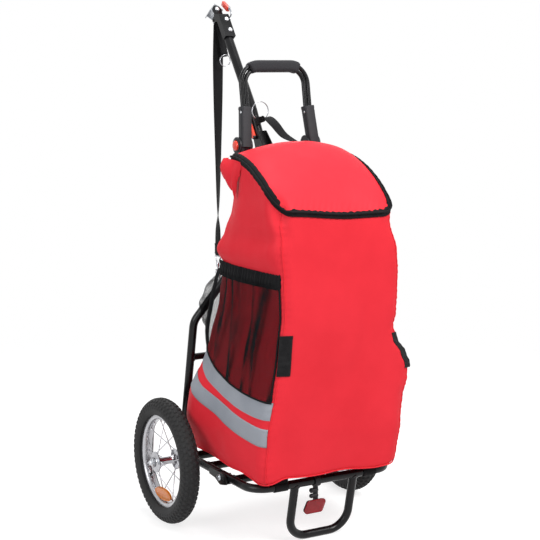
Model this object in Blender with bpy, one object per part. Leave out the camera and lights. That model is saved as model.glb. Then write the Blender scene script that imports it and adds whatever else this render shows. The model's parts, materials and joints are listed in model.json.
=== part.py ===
"""Bicycle cargo trailer that is also a shopping trolley: a bag on a folding tube frame with two wheels.

+X is across the trolley to the right, +Y is towards the handle and tow bar, +Z is up, in metres.
The ground is z = 0, and the origin is the middle of the footprint on the ground.
"""

import math

import bmesh
import bpy
from mathutils import Matrix, Vector

# Clearances
SEAT = 0.0003  # between two pieces that touch
RUNNING = 0.0003  # between a shaft and its bore

# Wheels and axle
AXLE_BACK = 0.0474  # from the middle of the footprint back to the axle
WHEEL_RADIUS = 0.1475
WHEEL_TRACK = 0.503  # between the middle planes of the two wheels
TYRE_WIDTH = 0.045
TYRE_BEAD_INSET = 0.0023
RIM_RADIUS = 0.111
RIM_WIDTH = 0.024
RIM_DEPTH = 0.0145
RIM_WALL = 0.002
HUB_WIDTH = 0.060
HUB_FLANGE_RADIUS = 0.0245
HUB_FLANGE_SPACING = 0.052
HUB_FLANGE_THICKNESS = 0.003
HUB_BARREL_RADIUS = 0.0095
HUB_END_RADIUS = 0.0125
WHEEL_SEGMENTS = 30
SPOKE_COUNT = 20
SPOKE_RADIUS = 0.0011
SPOKE_HOLE_INSET = 0.0035
AXLE_RADIUS = 0.006
AXLE_STUB = 0.012  # axle that stands out of the hub
NUT_WIDTH = 0.017
NUT_THICKNESS = 0.007
SPACER_RADIUS = 0.009
WHEEL_REFLECTOR_LENGTH = 0.076
WHEEL_REFLECTOR_WIDTH = 0.034
WHEEL_REFLECTOR_THICKNESS = 0.005
WHEEL_REFLECTOR_RADIUS = 0.0775
WHEEL_REFLECTOR_TURN = math.radians(7)  # from the bottom of the wheel towards the front

# Frame
TUBE_RADIUS = 0.0095
DECK_DROP = 0.0035  # the deck tubes' axis below the axle
DECK_HEIGHT = WHEEL_RADIUS - DECK_DROP
FRAME_HALF_WIDTH = 0.183
FRAME_FOOT = 0.051  # the upright's foot lies this far behind the axle
FRAME_LEAN = math.radians(11.4)  # the upright leans forward going up
FOOT_BEND = 0.048
SHOULDER_HEIGHT = 0.475
NECK_HEIGHT = 0.600
SHOULDER_BEND = 0.045
POST_HALF_SPACING = 0.0905
BAR_RADIUS = 0.0095
MIDDLE_BAR_HEIGHT = 0.387
UPPER_BAR_HEIGHT = 0.820
UPPER_BAR_RADIUS = 0.008
AXLE_BOSS_RADIUS = 0.0145
AXLE_BOSS_WIDTH = 0.027
AXLE_TUBE_RADIUS = 0.0105
REAR_DECK_BAR = 0.082  # in front of the axle

# Folding platform and its stand
PIVOT_REACH = 0.162  # from the axle forward to the platform's pivot
PLATFORM_REACH = 0.298  # from the axle forward to the platform's front tube
PLATFORM_CORNER = 0.045
PLATFORM_BAR = 0.204
PLATFORM_TAIL = 0.009  # platform tube behind its pivot
ARM_GAP = 0.020  # from the pivot back to the end of the frame's arm
PIVOT_BOLT_RADIUS = 0.004
PIVOT_HEAD_RADIUS = 0.0072
BRACKET_THICKNESS = 0.003
BRACKET_HALF_HEIGHT = 0.0135
BRACKET_TAIL = 0.050
PIVOT_DROP = 0.003  # pivot below the tubes' axis
LUG_DROP = 0.0095  # the bracket's lug below the tube's underside
BRACKET_NOSE = 0.032
STOP_LIP_START = 0.014
STAND_HALF_WIDTH = 0.0775
STAND_SETBACK = 0.030  # the stand's foot lies this far behind its top
STAND_CORNER = 0.047
STRAP_LOOP_CENTRE = 0.117
STRAP_LOOP_WIDTH = 0.034
WEBBING_THICKNESS = 0.002
REAR_REFLECTOR_X = -0.031
REAR_REFLECTOR_WIDTH = 0.050
REAR_REFLECTOR_HEIGHT = 0.030
REAR_REFLECTOR_SLANT = 0.013
REAR_REFLECTOR_DEPTH = 0.005
REAR_REFLECTOR_DROP = 0.057  # from the front tube's axis down to the lens's middle
REFLECTOR_ARM_SHIFT = 0.007  # the reflector's arm to the right of its lens
REFLECTOR_CLAMP_WIDTH = 0.014

# Folding handle
HINGE_HEIGHT = 0.884
KNUCKLE_OFFSET = 0.012  # hinge axis behind the post's axis
KNUCKLE_RADIUS = 0.0195
KNUCKLE_WIDTH = 0.032
TONGUE_WIDTH = 0.014
HANDLE_LEAN = math.radians(9.3)
SLEEVE_LENGTH = 0.088
SLEEVE_WIDTH = 0.027
SLEEVE_DEPTH = 0.022
ROD_RADIUS = 0.005
ROD_SPACING = 0.0115
ROD_HALF_SPACING = 0.083  # from the middle of the trolley to the middle of a pair of rods
ROD_SOCKET = 0.020
HANDLE_LENGTH = 0.180  # hinge axis to the middle of the grip
HANDLE_CORNER = 0.041
GRIP_HALF_LENGTH = 0.062
GRIP_HEIGHT = 0.027
GRIP_DEPTH = 0.026
BUTTON_RADIUS = 0.0115
BUTTON_STICK_OUT = 0.007
SOCKET_DEPTH = 0.020

# Tow bar and hitch
TOW_RADIUS = 0.011
TOW_PIVOT_BACK = -0.0275  # from the axle, backwards
TOW_PIVOT_HEIGHT = 0.857
TOW_LOWER_LEAN = math.radians(28.5)
TOW_UPPER_LEAN = math.radians(35.1)
TOW_LOWER_LENGTH = 0.122
TOW_UPPER_LENGTH = 0.262
TOW_TAIL = 0.013
TOW_BRACKET_START = 0.0135  # the bar's tail swings clear below the bracket's web
CHEEK_THICKNESS = 0.003
CHEEK_CLEARANCE = 0.0005
TOW_BOLT_RADIUS = 0.004
TOW_BRACKET_LENGTH = 0.058
LEVER_LENGTH = 0.044
LEVER_WIDTH = 0.012
LEVER_THICKNESS = 0.0075
LEVER_HEIGHT = 0.044
HITCH_PLATE = 0.0025
HITCH_OVERLAP = 0.064
HITCH_EAR = 0.030  # from the tow bar's end to the ear's hole
HITCH_EAR_RADIUS = 0.0115
HITCH_JOGGLE = 0.0195  # the ear's plate lies this far behind the front plate
HITCH_JOGGLE_START = 0.001
HITCH_JOGGLE_END = 0.012
HITCH_BOLT_OFFSET = 0.004  # to the right of the tow bar's middle line
HITCH_BOLT_LOWER = -0.046
HITCH_BOLT_UPPER = -0.0145
HITCH_BOLT_RADIUS = 0.003
HITCH_BOLT_HEAD = 0.006
JAW_LENGTH = 0.026
JAW_DEPTH = 0.033
JAW_HALF_WIDTH = 0.013
JAW_TURN = math.radians(45)
JAW_WALL = 0.0022
LATCH_ROD_RADIUS = 0.0021
LATCH_CAP_LENGTH = 0.034
LATCH_CAP_WIDTH = 0.0095
LATCH_CAP_THICKNESS = 0.007
SAFETY_STRAP_WIDTH = 0.027
SAFETY_STRAP_LENGTH = 0.577
SAFETY_STRAP_GATHER = 0.0205  # the strap's width where it goes round its pin
STRAP_PIN_RADIUS = 0.003
STRAP_PIN_BACK = 0.0165
STRAP_PIN_RISE = 0.004
RING_TAB_WIDTH = 0.019
SNAP_HOOK_LENGTH = 0.052
SNAP_HOOK_WIDTH = 0.022
SPLIT_RING_RADIUS = 0.0145
SPLIT_RING_WIRE = 0.0013
HANGER_RING_RADIUS = 0.0215
HANGER_WIDTH = 0.019
HANGER_REACH = 0.062  # to the right of the middle, where the hanger is sewn to the bag
HANGER_SEAM_HEIGHT = 0.800

# Bag
BAG_LIFT = 0.024  # the bag's floor above the deck tubes' axis
BAG_BOTTOM = DECK_HEIGHT + BAG_LIFT
BAG_SPLIT = 0.305
BAG_FRONT = 0.338  # in front of the axle
# The bag's half width at its front corners and how far its sides bow out, by height
BAG_WIDTHS = (
    (BAG_BOTTOM, 0.163, 0.008),
    (0.250, 0.170, 0.020),
    (0.330, 0.170, 0.022),
    (0.420, 0.158, 0.022),
    (0.520, 0.147, 0.018),
    (0.620, 0.149, 0.010),
    (0.700, 0.148, 0.004),
    (0.760, 0.146, 0.002),
    (0.862, 0.145, 0.000),
)
BAG_WALL = 0.004
BAG_CORNER = 0.030
BAG_BACK_GAP = 0.0065
BAG_RIM_FRONT = 0.742
BAG_RIM_BACK = 0.862
LID_THICKNESS = 0.004
LID_CROWN = 0.028
LID_GAP = 0.001
POCKET_BOTTOM_BACK = 0.415
POCKET_BOTTOM_FRONT = 0.338
POCKET_TOP_BACK = 0.632
POCKET_TOP_FRONT = 0.620
POCKET_BULGE = 0.020
POCKET_WALL = 0.003
POCKET_FRONT = 0.326  # in front of the axle
SOFT_GAP = 0.0005

# Worked out from the dimensions above
AXLE_Y = AXLE_BACK
WHEEL_X = WHEEL_TRACK / 2
PIVOT_Y = AXLE_Y - PIVOT_REACH
PLATFORM_Y = AXLE_Y - PLATFORM_REACH
BAG_FRONT_Y = AXLE_Y - BAG_FRONT
LEFT, RIGHT = -1, 1
SIDES = (("left", LEFT), ("right", RIGHT))
X_AXIS, Y_AXIS, Z_AXIS = Vector((1, 0, 0)), Vector((0, 1, 0)), Vector((0, 0, 1))
# Turns for a plate: its outline's X and Y become Y and Z, or X and Z
SIDEWAYS = Matrix(((0, 0, 1, 0), (1, 0, 0, 0), (0, 1, 0, 0), (0, 0, 0, 1)))
FACING = Matrix(((1, 0, 0, 0), (0, 0, -1, 0), (0, 1, 0, 0), (0, 0, 0, 1)))


def clear_scene():
    for obj in list(bpy.data.objects):
        bpy.data.objects.remove(obj, do_unlink=True)


def make_material(name, colour, roughness, metallic=0.0):
    material = bpy.data.materials.new(name)
    material.use_nodes = True
    shader = material.node_tree.nodes["Principled BSDF"]
    shader.inputs["Base Color"].default_value = (*colour, 1.0)
    shader.inputs["Roughness"].default_value = roughness
    shader.inputs["Metallic"].default_value = metallic
    return material


MATERIALS = {
    "frame_paint": make_material("frame_paint", (0.012, 0.012, 0.013), 0.28),
    "chrome": make_material("chrome", (0.75, 0.76, 0.78), 0.15, 1.0),
    "zinc": make_material("zinc", (0.62, 0.63, 0.65), 0.32, 1.0),
    "tyre": make_material("tyre", (0.018, 0.018, 0.019), 0.75),
    "plastic": make_material("plastic", (0.045, 0.045, 0.052), 0.50),
    "foam": make_material("foam", (0.040, 0.040, 0.046), 0.80),
    "button_red": make_material("button_red", (0.75, 0.06, 0.02), 0.35),
    "amber": make_material("amber", (0.85, 0.25, 0.01), 0.20),
    "dark_red": make_material("dark_red", (0.22, 0.005, 0.010), 0.15),
    "red_fabric": make_material("red_fabric", (0.72, 0.020, 0.032), 0.70),
    "mesh_fabric": make_material("mesh_fabric", (0.020, 0.018, 0.020), 0.85),
    "webbing": make_material("webbing", (0.015, 0.015, 0.016), 0.80),
}


def add_object(name, mesh, material, place=None):
    obj = bpy.data.objects.new(name, mesh)
    bpy.context.scene.collection.objects.link(obj)
    if material and not mesh.materials:
        mesh.materials.append(MATERIALS[material])
    if place is not None:
        obj.matrix_world = place
    return obj


def mesh_from(bm, name, smooth=True):
    bmesh.ops.remove_doubles(bm, verts=bm.verts, dist=1e-6)
    bmesh.ops.recalc_face_normals(bm, faces=bm.faces)
    mesh = bpy.data.meshes.new(name)
    bm.to_mesh(mesh)
    bm.free()
    if smooth:
        mesh.shade_smooth()
        mesh.set_sharp_from_angle(angle=math.radians(35))
    return mesh


def evaluated_mesh(obj):
    bpy.context.view_layer.update()
    graph = bpy.context.evaluated_depsgraph_get()
    return bpy.data.meshes.new_from_object(obj.evaluated_get(graph))


def combine(obj, others, operation):
    """Cuts the others from the object or joins them to it, and removes them."""
    material = obj.data.materials[0] if obj.data.materials else None
    for other in others:
        modifier = obj.modifiers.new(operation, "BOOLEAN")
        modifier.operation = operation
        modifier.object = other
        mesh = evaluated_mesh(obj)
        obj.modifiers.clear()
        obj.data = mesh
        bpy.data.objects.remove(other, do_unlink=True)
    obj.data.materials.clear()
    if material:
        obj.data.materials.append(material)
    obj.data.shade_smooth()
    obj.data.set_sharp_from_angle(angle=math.radians(35))
    return obj


def carve(obj, *cutters):
    return combine(obj, cutters, "DIFFERENCE")


def fuse(obj, *parts):
    return combine(obj, parts, "UNION")


def frame_along(direction):
    """A turn that takes Z to the direction and keeps its X level."""
    z = Vector(direction).normalized()
    side = X_AXIS if abs(z.x) < 0.9 else Y_AXIS
    x = (side - z * side.dot(z)).normalized()
    return Matrix((x, z.cross(x), z)).transposed().to_4x4()


def rounded_path(points, radii, turn=math.radians(20)):
    """The polyline with each inner corner replaced by an arc of its radius."""
    points = [Vector(point) for point in points]
    if not isinstance(radii, (list, tuple)):
        radii = [radii] * (len(points) - 2)
    path = [points[0]]
    for before, corner, after, radius in zip(points, points[1:], points[2:], radii):
        into, out = (before - corner).normalized(), (after - corner).normalized()
        bend = math.pi - into.angle(out)
        reach = radius * math.tan(bend / 2)
        centre = corner + (into + out).normalized() * radius / math.cos(bend / 2)
        start = corner + into * reach - centre
        end = corner + out * reach - centre
        steps = max(2, math.ceil(bend / turn))
        for step in range(steps + 1):
            share = step * bend / steps
            blend = (start * math.sin(bend - share) + end * math.sin(share)) / math.sin(bend)
            path.append(centre + blend)
    path.append(points[-1])
    return path


def tube(name, path, radius, material, resolution=4):
    """A round bar along a path, with flat ends."""
    curve = bpy.data.curves.new(name, "CURVE")
    curve.dimensions = "3D"
    curve.twist_mode = "MINIMUM"
    curve.bevel_depth = radius
    curve.bevel_resolution = resolution
    curve.use_fill_caps = True
    spline = curve.splines.new("POLY")
    spline.points.add(len(path) - 1)
    for point, place in zip(spline.points, path):
        point.co = (*place, 1.0)
    guide = bpy.data.objects.new(name, curve)
    bpy.context.scene.collection.objects.link(guide)
    mesh = evaluated_mesh(guide)
    bpy.data.objects.remove(guide, do_unlink=True)
    mesh.materials.clear()
    bm = bmesh.new()
    bm.from_mesh(mesh)
    bpy.data.meshes.remove(mesh)
    return add_object(name, mesh_from(bm, name), material)


def cylinder(name, start, end, radius, material=None, sides=16, end_radius=None):
    start, end = Vector(start), Vector(end)
    bm = bmesh.new()
    bmesh.ops.create_cone(
        bm,
        cap_ends=True,
        segments=sides,
        radius1=radius,
        radius2=radius if end_radius is None else end_radius,
        depth=(end - start).length,
    )
    place = Matrix.Translation((start + end) / 2) @ frame_along(end - start)
    bmesh.ops.transform(bm, matrix=place, verts=bm.verts)
    return add_object(name, mesh_from(bm, name), material)


def turned(name, profile, material=None, segments=36, axis=X_AXIS, place=None):
    """A ring or a solid of revolution: profile points are (along the axis, radius)."""
    bm = bmesh.new()
    axis = Vector(axis)
    radial = Z_AXIS if abs(axis.z) < 0.9 else Y_AXIS
    verts = [bm.verts.new(axis * along - radial * radius) for along, radius in profile]
    edges = [bm.edges.new(pair) for pair in zip(verts, verts[1:] + verts[:1])]
    bmesh.ops.spin(
        bm,
        geom=verts + edges,
        cent=(0, 0, 0),
        axis=axis,
        angle=math.tau,
        steps=segments,
        use_merge=True,
    )
    bmesh.ops.dissolve_degenerate(bm, dist=1e-6, edges=bm.edges)
    return add_object(name, mesh_from(bm, name), material, place)


def plate(name, outline, thickness, material=None, place=None, bevel=0.0):
    """A flat solid: the outline's points are in its own X and Y, and it is thick along its own Z."""
    bm = bmesh.new()
    face = bm.faces.new([bm.verts.new((x, y, -thickness / 2)) for x, y in outline])
    walls = bmesh.ops.extrude_face_region(bm, geom=[face])
    top = [item for item in walls["geom"] if isinstance(item, bmesh.types.BMVert)]
    bmesh.ops.translate(bm, vec=(0, 0, thickness), verts=top)
    if bevel:
        rims = [edge for edge in bm.edges if abs(edge.verts[0].co.z - edge.verts[1].co.z) < 1e-9]
        bmesh.ops.bevel(bm, geom=rims, offset=bevel, segments=1, affect="EDGES", profile=0.5)
    return add_object(name, mesh_from(bm, name), material, place)


def block(name, low, high, material=None, place=None, bevel=0.0):
    bm = bmesh.new()
    bmesh.ops.create_cube(bm, size=1.0)
    low, high = Vector(low), Vector(high)
    bmesh.ops.scale(bm, vec=high - low, verts=bm.verts)
    bmesh.ops.translate(bm, vec=(low + high) / 2, verts=bm.verts)
    if bevel:
        bmesh.ops.bevel(bm, geom=bm.edges, offset=bevel, segments=1, affect="EDGES", profile=0.5)
    return add_object(name, mesh_from(bm, name), material, place)


def arc(centre, radius, start, end, steps):
    """Points on an arc, with its angles in degrees."""
    angles = [math.radians(start + (end - start) * step / steps) for step in range(steps + 1)]
    return [(centre[0] + radius * math.cos(a), centre[1] + radius * math.sin(a)) for a in angles]


def hull_of_circles(circles, steps=6):
    """The outline of a plate that wraps circles, given anticlockwise as (x, y, radius)."""
    outline = []
    for index, (x, y, radius) in enumerate(circles):
        before = circles[index - 1]
        after = circles[(index + 1) % len(circles)]
        start = tangent_angle(before, (x, y, radius))
        end = tangent_angle((x, y, radius), after)
        while end < start:
            end += 360
        outline += arc((x, y), radius, start, end, steps)
    return outline


def tangent_angle(first, second):
    """The direction, in degrees, of the outer tangent's normal from one circle to the next."""
    dx, dy = second[0] - first[0], second[1] - first[1]
    lean = math.degrees(math.asin((first[2] - second[2]) / math.hypot(dx, dy)))
    return math.degrees(math.atan2(dy, dx)) - 90 + lean


def loft(name, rings, material, closed_ends=True):
    """A skin over rings that have the same number of points."""
    bm = bmesh.new()
    loops = [[bm.verts.new(point) for point in ring] for ring in rings]
    for lower, upper in zip(loops, loops[1:]):
        count = len(lower)
        for index in range(count):
            following = (index + 1) % count
            bm.faces.new((lower[index], lower[following], upper[following], upper[index]))
    if closed_ends:
        bm.faces.new(loops[0][::-1])
        bm.faces.new(loops[-1])
    return add_object(name, mesh_from(bm, name), material)


def frame_y(height):
    """Where the leaning frame's tube axis lies, front to back, at a height."""
    return AXLE_Y + FRAME_FOOT - math.tan(FRAME_LEAN) * (height - DECK_HEIGHT)


def build_wheel(side_name, side):
    place = Matrix.Translation((side * WHEEL_X, AXLE_Y, WHEEL_RADIUS))
    if side == LEFT:
        place = place @ Matrix.Rotation(math.pi, 4, "Z")
    build_tyre(side_name, place)
    build_rim(side_name, place)
    build_hub(side_name, place)
    build_wheel_reflector(side_name, side, place)


def build_tyre(side_name, place):
    half = TYRE_WIDTH / 2
    bead = RIM_WIDTH / 2 - RIM_WALL - SEAT
    seat = RIM_RADIUS - RIM_DEPTH + RIM_WALL + TYRE_BEAD_INSET
    lip = RIM_RADIUS + SEAT
    half_profile = [
        (bead, seat),
        (bead, lip),
        (half * 0.98, lip + 0.011),
        (half * 0.84, WHEEL_RADIUS - 0.0060),
        (half * 0.42, WHEEL_RADIUS),
    ]
    mirrored = [(-x, r) for x, r in reversed(half_profile)]
    turned(f"{side_name}_tyre", half_profile + mirrored, "tyre", WHEEL_SEGMENTS, place=place)


def build_rim(side_name, place):
    half, outer = RIM_WIDTH / 2, RIM_RADIUS
    well = outer - RIM_DEPTH
    outside = [(half, outer), (half, well + 0.003)]
    inside = [(half - RIM_WALL, well + 0.0038), (half - RIM_WALL, outer)]
    profile = outside + [(0, well)] + [(-x, r) for x, r in reversed(outside)]
    profile += [(-x, r) for x, r in reversed(inside)] + inside
    turned(f"{side_name}_rim", profile, "chrome", WHEEL_SEGMENTS, place=place)


def hub_profile():
    """The hub's outside from its outer end, at +X, to the sleeve that spaces it off the frame."""
    end = HUB_WIDTH / 2
    sleeve_end = WHEEL_X - FRAME_HALF_WIDTH - AXLE_BOSS_WIDTH / 2 - SEAT
    outer = HUB_FLANGE_SPACING / 2 + HUB_FLANGE_THICKNESS / 2
    inner = HUB_FLANGE_SPACING / 2 - HUB_FLANGE_THICKNESS / 2
    half = [
        (end, HUB_END_RADIUS),
        (outer, HUB_END_RADIUS + 0.002),
        (outer, HUB_FLANGE_RADIUS),
        (inner, HUB_FLANGE_RADIUS),
        (inner, HUB_FLANGE_RADIUS * 0.58),
        (inner - 0.010, HUB_BARREL_RADIUS),
    ]
    bore = AXLE_RADIUS + RUNNING
    profile = [(end, bore)] + half + [(-x, r) for x, r in reversed(half)]
    return profile + [(-end, SPACER_RADIUS), (-sleeve_end, SPACER_RADIUS), (-sleeve_end, bore)]


def spoke_end(index):
    """The two ends of a spoke in the wheel's frame: at the hub's flange and at the rim."""
    side = 1 if index % 2 == 0 else -1
    leading = (index // 2) % 2 == 0
    rim_angle = math.tau * index / SPOKE_COUNT
    cross = math.tau / 10
    hub_angle = rim_angle + (cross if leading else -cross)
    face = 0.5 * HUB_FLANGE_THICKNESS + (SPOKE_RADIUS if leading else -SPOKE_RADIUS) * 0.6
    hub_x = side * (HUB_FLANGE_SPACING / 2 + face - HUB_FLANGE_THICKNESS * 0.5)
    hub_r = HUB_FLANGE_RADIUS - SPOKE_HOLE_INSET
    rim_r = (RIM_RADIUS - RIM_DEPTH) * math.cos(math.pi / WHEEL_SEGMENTS) - SEAT
    at_hub = Vector((hub_x, hub_r * math.sin(hub_angle), hub_r * math.cos(hub_angle)))
    at_rim = Vector((side * 0.002, rim_r * math.sin(rim_angle), rim_r * math.cos(rim_angle)))
    return at_hub, at_rim


def build_hub(side_name, place):
    hub = turned(f"{side_name}_hub_and_spokes", hub_profile(), "chrome", 14)
    spokes = []
    for index in range(SPOKE_COUNT):
        at_hub, at_rim = spoke_end(index)
        spokes.append(cylinder("spoke", at_hub, at_rim, SPOKE_RADIUS, sides=4))
    fuse(hub, *spokes)
    hub.matrix_world = place


def build_wheel_reflector(side_name, side, place):
    """An oval lens that lies on the slope of the outer spokes, near the bottom of the wheel."""
    flange_x = HUB_FLANGE_SPACING / 2 + SPOKE_RADIUS
    flange_r = HUB_FLANGE_RADIUS - SPOKE_HOLE_INSET
    rim_r = RIM_RADIUS - RIM_DEPTH
    slope = math.atan2(flange_x - 0.002, rim_r - flange_r)
    share = (rim_r - WHEEL_REFLECTOR_RADIUS) / (rim_r - flange_r)
    cone_x = 0.002 + (flange_x - 0.002) * share
    outline = []
    for step in range(16):
        angle = math.tau * step / 16
        c, s = math.cos(angle), math.sin(angle)
        x = math.copysign(abs(c) ** 0.85, c) * WHEEL_REFLECTOR_LENGTH / 2
        outline.append((x, math.copysign(abs(s) ** 0.85, s) * WHEEL_REFLECTOR_WIDTH / 2))
    gap = SPOKE_RADIUS + SEAT + WHEEL_REFLECTOR_THICKNESS / 2
    lift = cone_x + gap / math.cos(slope) - 0.0007
    around = Matrix.Rotation(-side * WHEEL_REFLECTOR_TURN, 4, "X")
    lean = Matrix.Rotation(slope, 4, "Y")
    local = around @ Matrix.Translation((lift, 0, -WHEEL_REFLECTOR_RADIUS)) @ lean @ SIDEWAYS
    plate(
        f"{side_name}_wheel_reflector",
        outline,
        WHEEL_REFLECTOR_THICKNESS,
        "amber",
        place @ local,
        bevel=0.0012,
    )


def build_axle():
    centre = Vector((0, AXLE_Y, WHEEL_RADIUS))
    hub_end = WHEEL_X + HUB_WIDTH / 2
    end = hub_end + AXLE_STUB
    cylinder("axle", centre - X_AXIS * end, centre + X_AXIS * end, AXLE_RADIUS, "zinc", 16)
    boss_inner = FRAME_HALF_WIDTH - AXLE_BOSS_WIDTH / 2
    bore = AXLE_RADIUS + RUNNING
    ring = [(boss_inner - SEAT, bore), (boss_inner - SEAT, AXLE_TUBE_RADIUS)]
    profile = ring + [(-x, r) for x, r in reversed(ring)]
    turned("axle_tube", profile, "frame_paint", 16, place=Matrix.Translation(centre))
    for side_name, side in SIDES:
        face = centre + X_AXIS * side * (hub_end + SEAT)
        nut = cylinder(
            f"{side_name}_axle_nut",
            face,
            face + X_AXIS * side * NUT_THICKNESS,
            NUT_WIDTH / 2 / math.cos(math.pi / 6),
            "zinc",
            6,
        )
        hole = (centre + X_AXIS * side * WHEEL_X, centre + X_AXIS * side * (end + 0.01))
        carve(nut, cylinder("bore", *hole, bore, sides=16))


def side_tube_path(side):
    x = side * FRAME_HALF_WIDTH
    post = side * POST_HALF_SPACING
    top = HINGE_HEIGHT - 0.026
    points = [
        (x, PIVOT_Y + ARM_GAP, DECK_HEIGHT),
        (x, frame_y(DECK_HEIGHT), DECK_HEIGHT),
        (x, frame_y(SHOULDER_HEIGHT), SHOULDER_HEIGHT),
        (post, frame_y(NECK_HEIGHT), NECK_HEIGHT),
        (post, frame_y(top), top),
    ]
    return rounded_path(points, [FOOT_BEND, SHOULDER_BEND, SHOULDER_BEND])


def build_side_tube(side_name, side):
    """One bent tube: arm, upright, shoulder and post, with the boss that carries the axle."""
    node = tube(f"{side_name}_frame_tube", side_tube_path(side), TUBE_RADIUS, "frame_paint", 3)
    centre = Vector((side * FRAME_HALF_WIDTH, AXLE_Y, WHEEL_RADIUS))
    half = X_AXIS * AXLE_BOSS_WIDTH / 2
    boss = cylinder("boss", centre - half, centre + half, AXLE_BOSS_RADIUS, sides=18)
    bore = cylinder("bore", centre - half * 2, centre + half * 2, AXLE_RADIUS + RUNNING, sides=16)
    carve(fuse(node, boss), bore)


def crossbar(name, y, height, radius, half_width, neighbour):
    """A straight tube between two others, with its ends cut to sit on them."""
    reach = half_width - neighbour * 0.5
    bar = cylinder(name, (-reach, y, height), (reach, y, height), radius, "frame_paint", 14)
    return bar


def cope(bar, path_of, radius):
    """Cuts each end of a crossbar to the round of the tube that it meets."""
    for side in (LEFT, RIGHT):
        carve(bar, tube("cope", path_of(side), radius + SEAT, None, 3))
    return bar


def build_frame_bars():
    rear_y = AXLE_Y - REAR_DECK_BAR
    middle, upper = MIDDLE_BAR_HEIGHT, UPPER_BAR_HEIGHT
    bars = (
        ("rear_deck_bar", rear_y, DECK_HEIGHT, BAR_RADIUS, FRAME_HALF_WIDTH),
        ("middle_crossbar", frame_y(middle), middle, UPPER_BAR_RADIUS, FRAME_HALF_WIDTH),
        ("upper_crossbar", frame_y(upper), upper, UPPER_BAR_RADIUS, POST_HALF_SPACING),
    )
    for name, y, height, radius, half_width in bars:
        cope(crossbar(name, y, height, radius, half_width, TUBE_RADIUS), side_tube_path, TUBE_RADIUS)


def build_platform_pivot(side_name, side):
    """The angle plate that carries the platform: its lower lip is the stop that keeps it level."""
    outer = FRAME_HALF_WIDTH + TUBE_RADIUS + SEAT
    under = -TUBE_RADIUS - SEAT
    half = BRACKET_HALF_HEIGHT
    outline = [(BRACKET_TAIL, -half * 0.5), (BRACKET_TAIL, half * 0.5), (BRACKET_TAIL - 0.01, half * 0.7)]
    outline += [(-BRACKET_NOSE * 0.7, half * 0.7), (-BRACKET_NOSE, half * 0.3)]
    outline += [(-BRACKET_NOSE, under - 0.003), (-0.014, under - LUG_DROP * 0.8)]
    outline += [(-0.002, under - LUG_DROP), (0.004, under - LUG_DROP * 0.8), (0.022, -half * 0.7)]
    middle = side * (outer + BRACKET_THICKNESS / 2)
    place = Matrix.Translation((middle, PIVOT_Y, DECK_HEIGHT)) @ SIDEWAYS
    bracket = plate(f"{side_name}_platform_bracket", outline, BRACKET_THICKNESS, "frame_paint", place)
    lip_x = sorted((side * (outer + BRACKET_THICKNESS / 2), side * (outer - TUBE_RADIUS * 1.3)))
    lip = block(
        "lip",
        (lip_x[0], PIVOT_Y - BRACKET_NOSE + 0.001, DECK_HEIGHT + under - 0.0025),
        (lip_x[1], PIVOT_Y - STOP_LIP_START, DECK_HEIGHT + under),
    )
    pivot = Vector((0, PIVOT_Y, DECK_HEIGHT - PIVOT_DROP))
    hole = cylinder(
        "hole",
        pivot + X_AXIS * side * (outer - 0.004),
        pivot + X_AXIS * side * (outer + 0.008),
        PIVOT_BOLT_RADIUS + RUNNING,
        sides=12,
    )
    carve(fuse(bracket, lip), hole)
    build_pivot_bolt(side_name, side, pivot, outer)


def build_pivot_bolt(side_name, side, pivot, outer):
    head = side * (outer + BRACKET_THICKNESS + SEAT)
    inner = side * (FRAME_HALF_WIDTH - TUBE_RADIUS - SEAT)
    profile = [
        (inner - side * 0.006, 0),
        (inner - side * 0.006, PIVOT_HEAD_RADIUS * 0.9),
        (inner, PIVOT_HEAD_RADIUS * 0.9),
        (inner, PIVOT_BOLT_RADIUS),
        (head, PIVOT_BOLT_RADIUS),
        (head, PIVOT_HEAD_RADIUS),
        (head + side * 0.0035, PIVOT_HEAD_RADIUS * 0.70),
        (head + side * 0.0048, 0),
    ]
    turned(f"{side_name}_pivot_bolt", profile, "zinc", 12, place=Matrix.Translation(pivot))


def platform_path():
    rear = PIVOT_Y + PLATFORM_TAIL
    x = FRAME_HALF_WIDTH
    points = [
        (-x, rear, DECK_HEIGHT),
        (-x, PLATFORM_Y, DECK_HEIGHT),
        (x, PLATFORM_Y, DECK_HEIGHT),
        (x, rear, DECK_HEIGHT),
    ]
    return rounded_path(points, PLATFORM_CORNER)


def build_platform():
    node = tube("platform_tube", platform_path(), TUBE_RADIUS, "frame_paint", 3)
    for side in (LEFT, RIGHT):
        reach = (side * (FRAME_HALF_WIDTH - 0.02), side * (FRAME_HALF_WIDTH + 0.02))
        ends = [(x, PIVOT_Y, DECK_HEIGHT - PIVOT_DROP) for x in reach]
        carve(node, cylinder("hole", *ends, PIVOT_BOLT_RADIUS + RUNNING, sides=12))
    bar_y = AXLE_Y - PLATFORM_BAR
    bar = crossbar("platform_bar", bar_y, DECK_HEIGHT, BAR_RADIUS, FRAME_HALF_WIDTH, TUBE_RADIUS)
    carve(bar, tube("cope", platform_path(), TUBE_RADIUS + SEAT, None, 3))
    build_stand()
    for side_name, side in SIDES:
        build_strap_loop(side_name, side)
    build_rear_reflector()


def build_stand():
    foot_y = PLATFORM_Y + STAND_SETBACK
    x = STAND_HALF_WIDTH
    points = [
        (-x, PLATFORM_Y, DECK_HEIGHT),
        (-x, foot_y, TUBE_RADIUS),
        (x, foot_y, TUBE_RADIUS),
        (x, PLATFORM_Y, DECK_HEIGHT),
    ]
    node = tube("stand", rounded_path(points, STAND_CORNER), TUBE_RADIUS, "frame_paint", 3)
    ends = [(sign * (x + 0.03), PLATFORM_Y, DECK_HEIGHT) for sign in (LEFT, RIGHT)]
    carve(node, cylinder("cope", *ends, TUBE_RADIUS + SEAT, sides=20))


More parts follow.
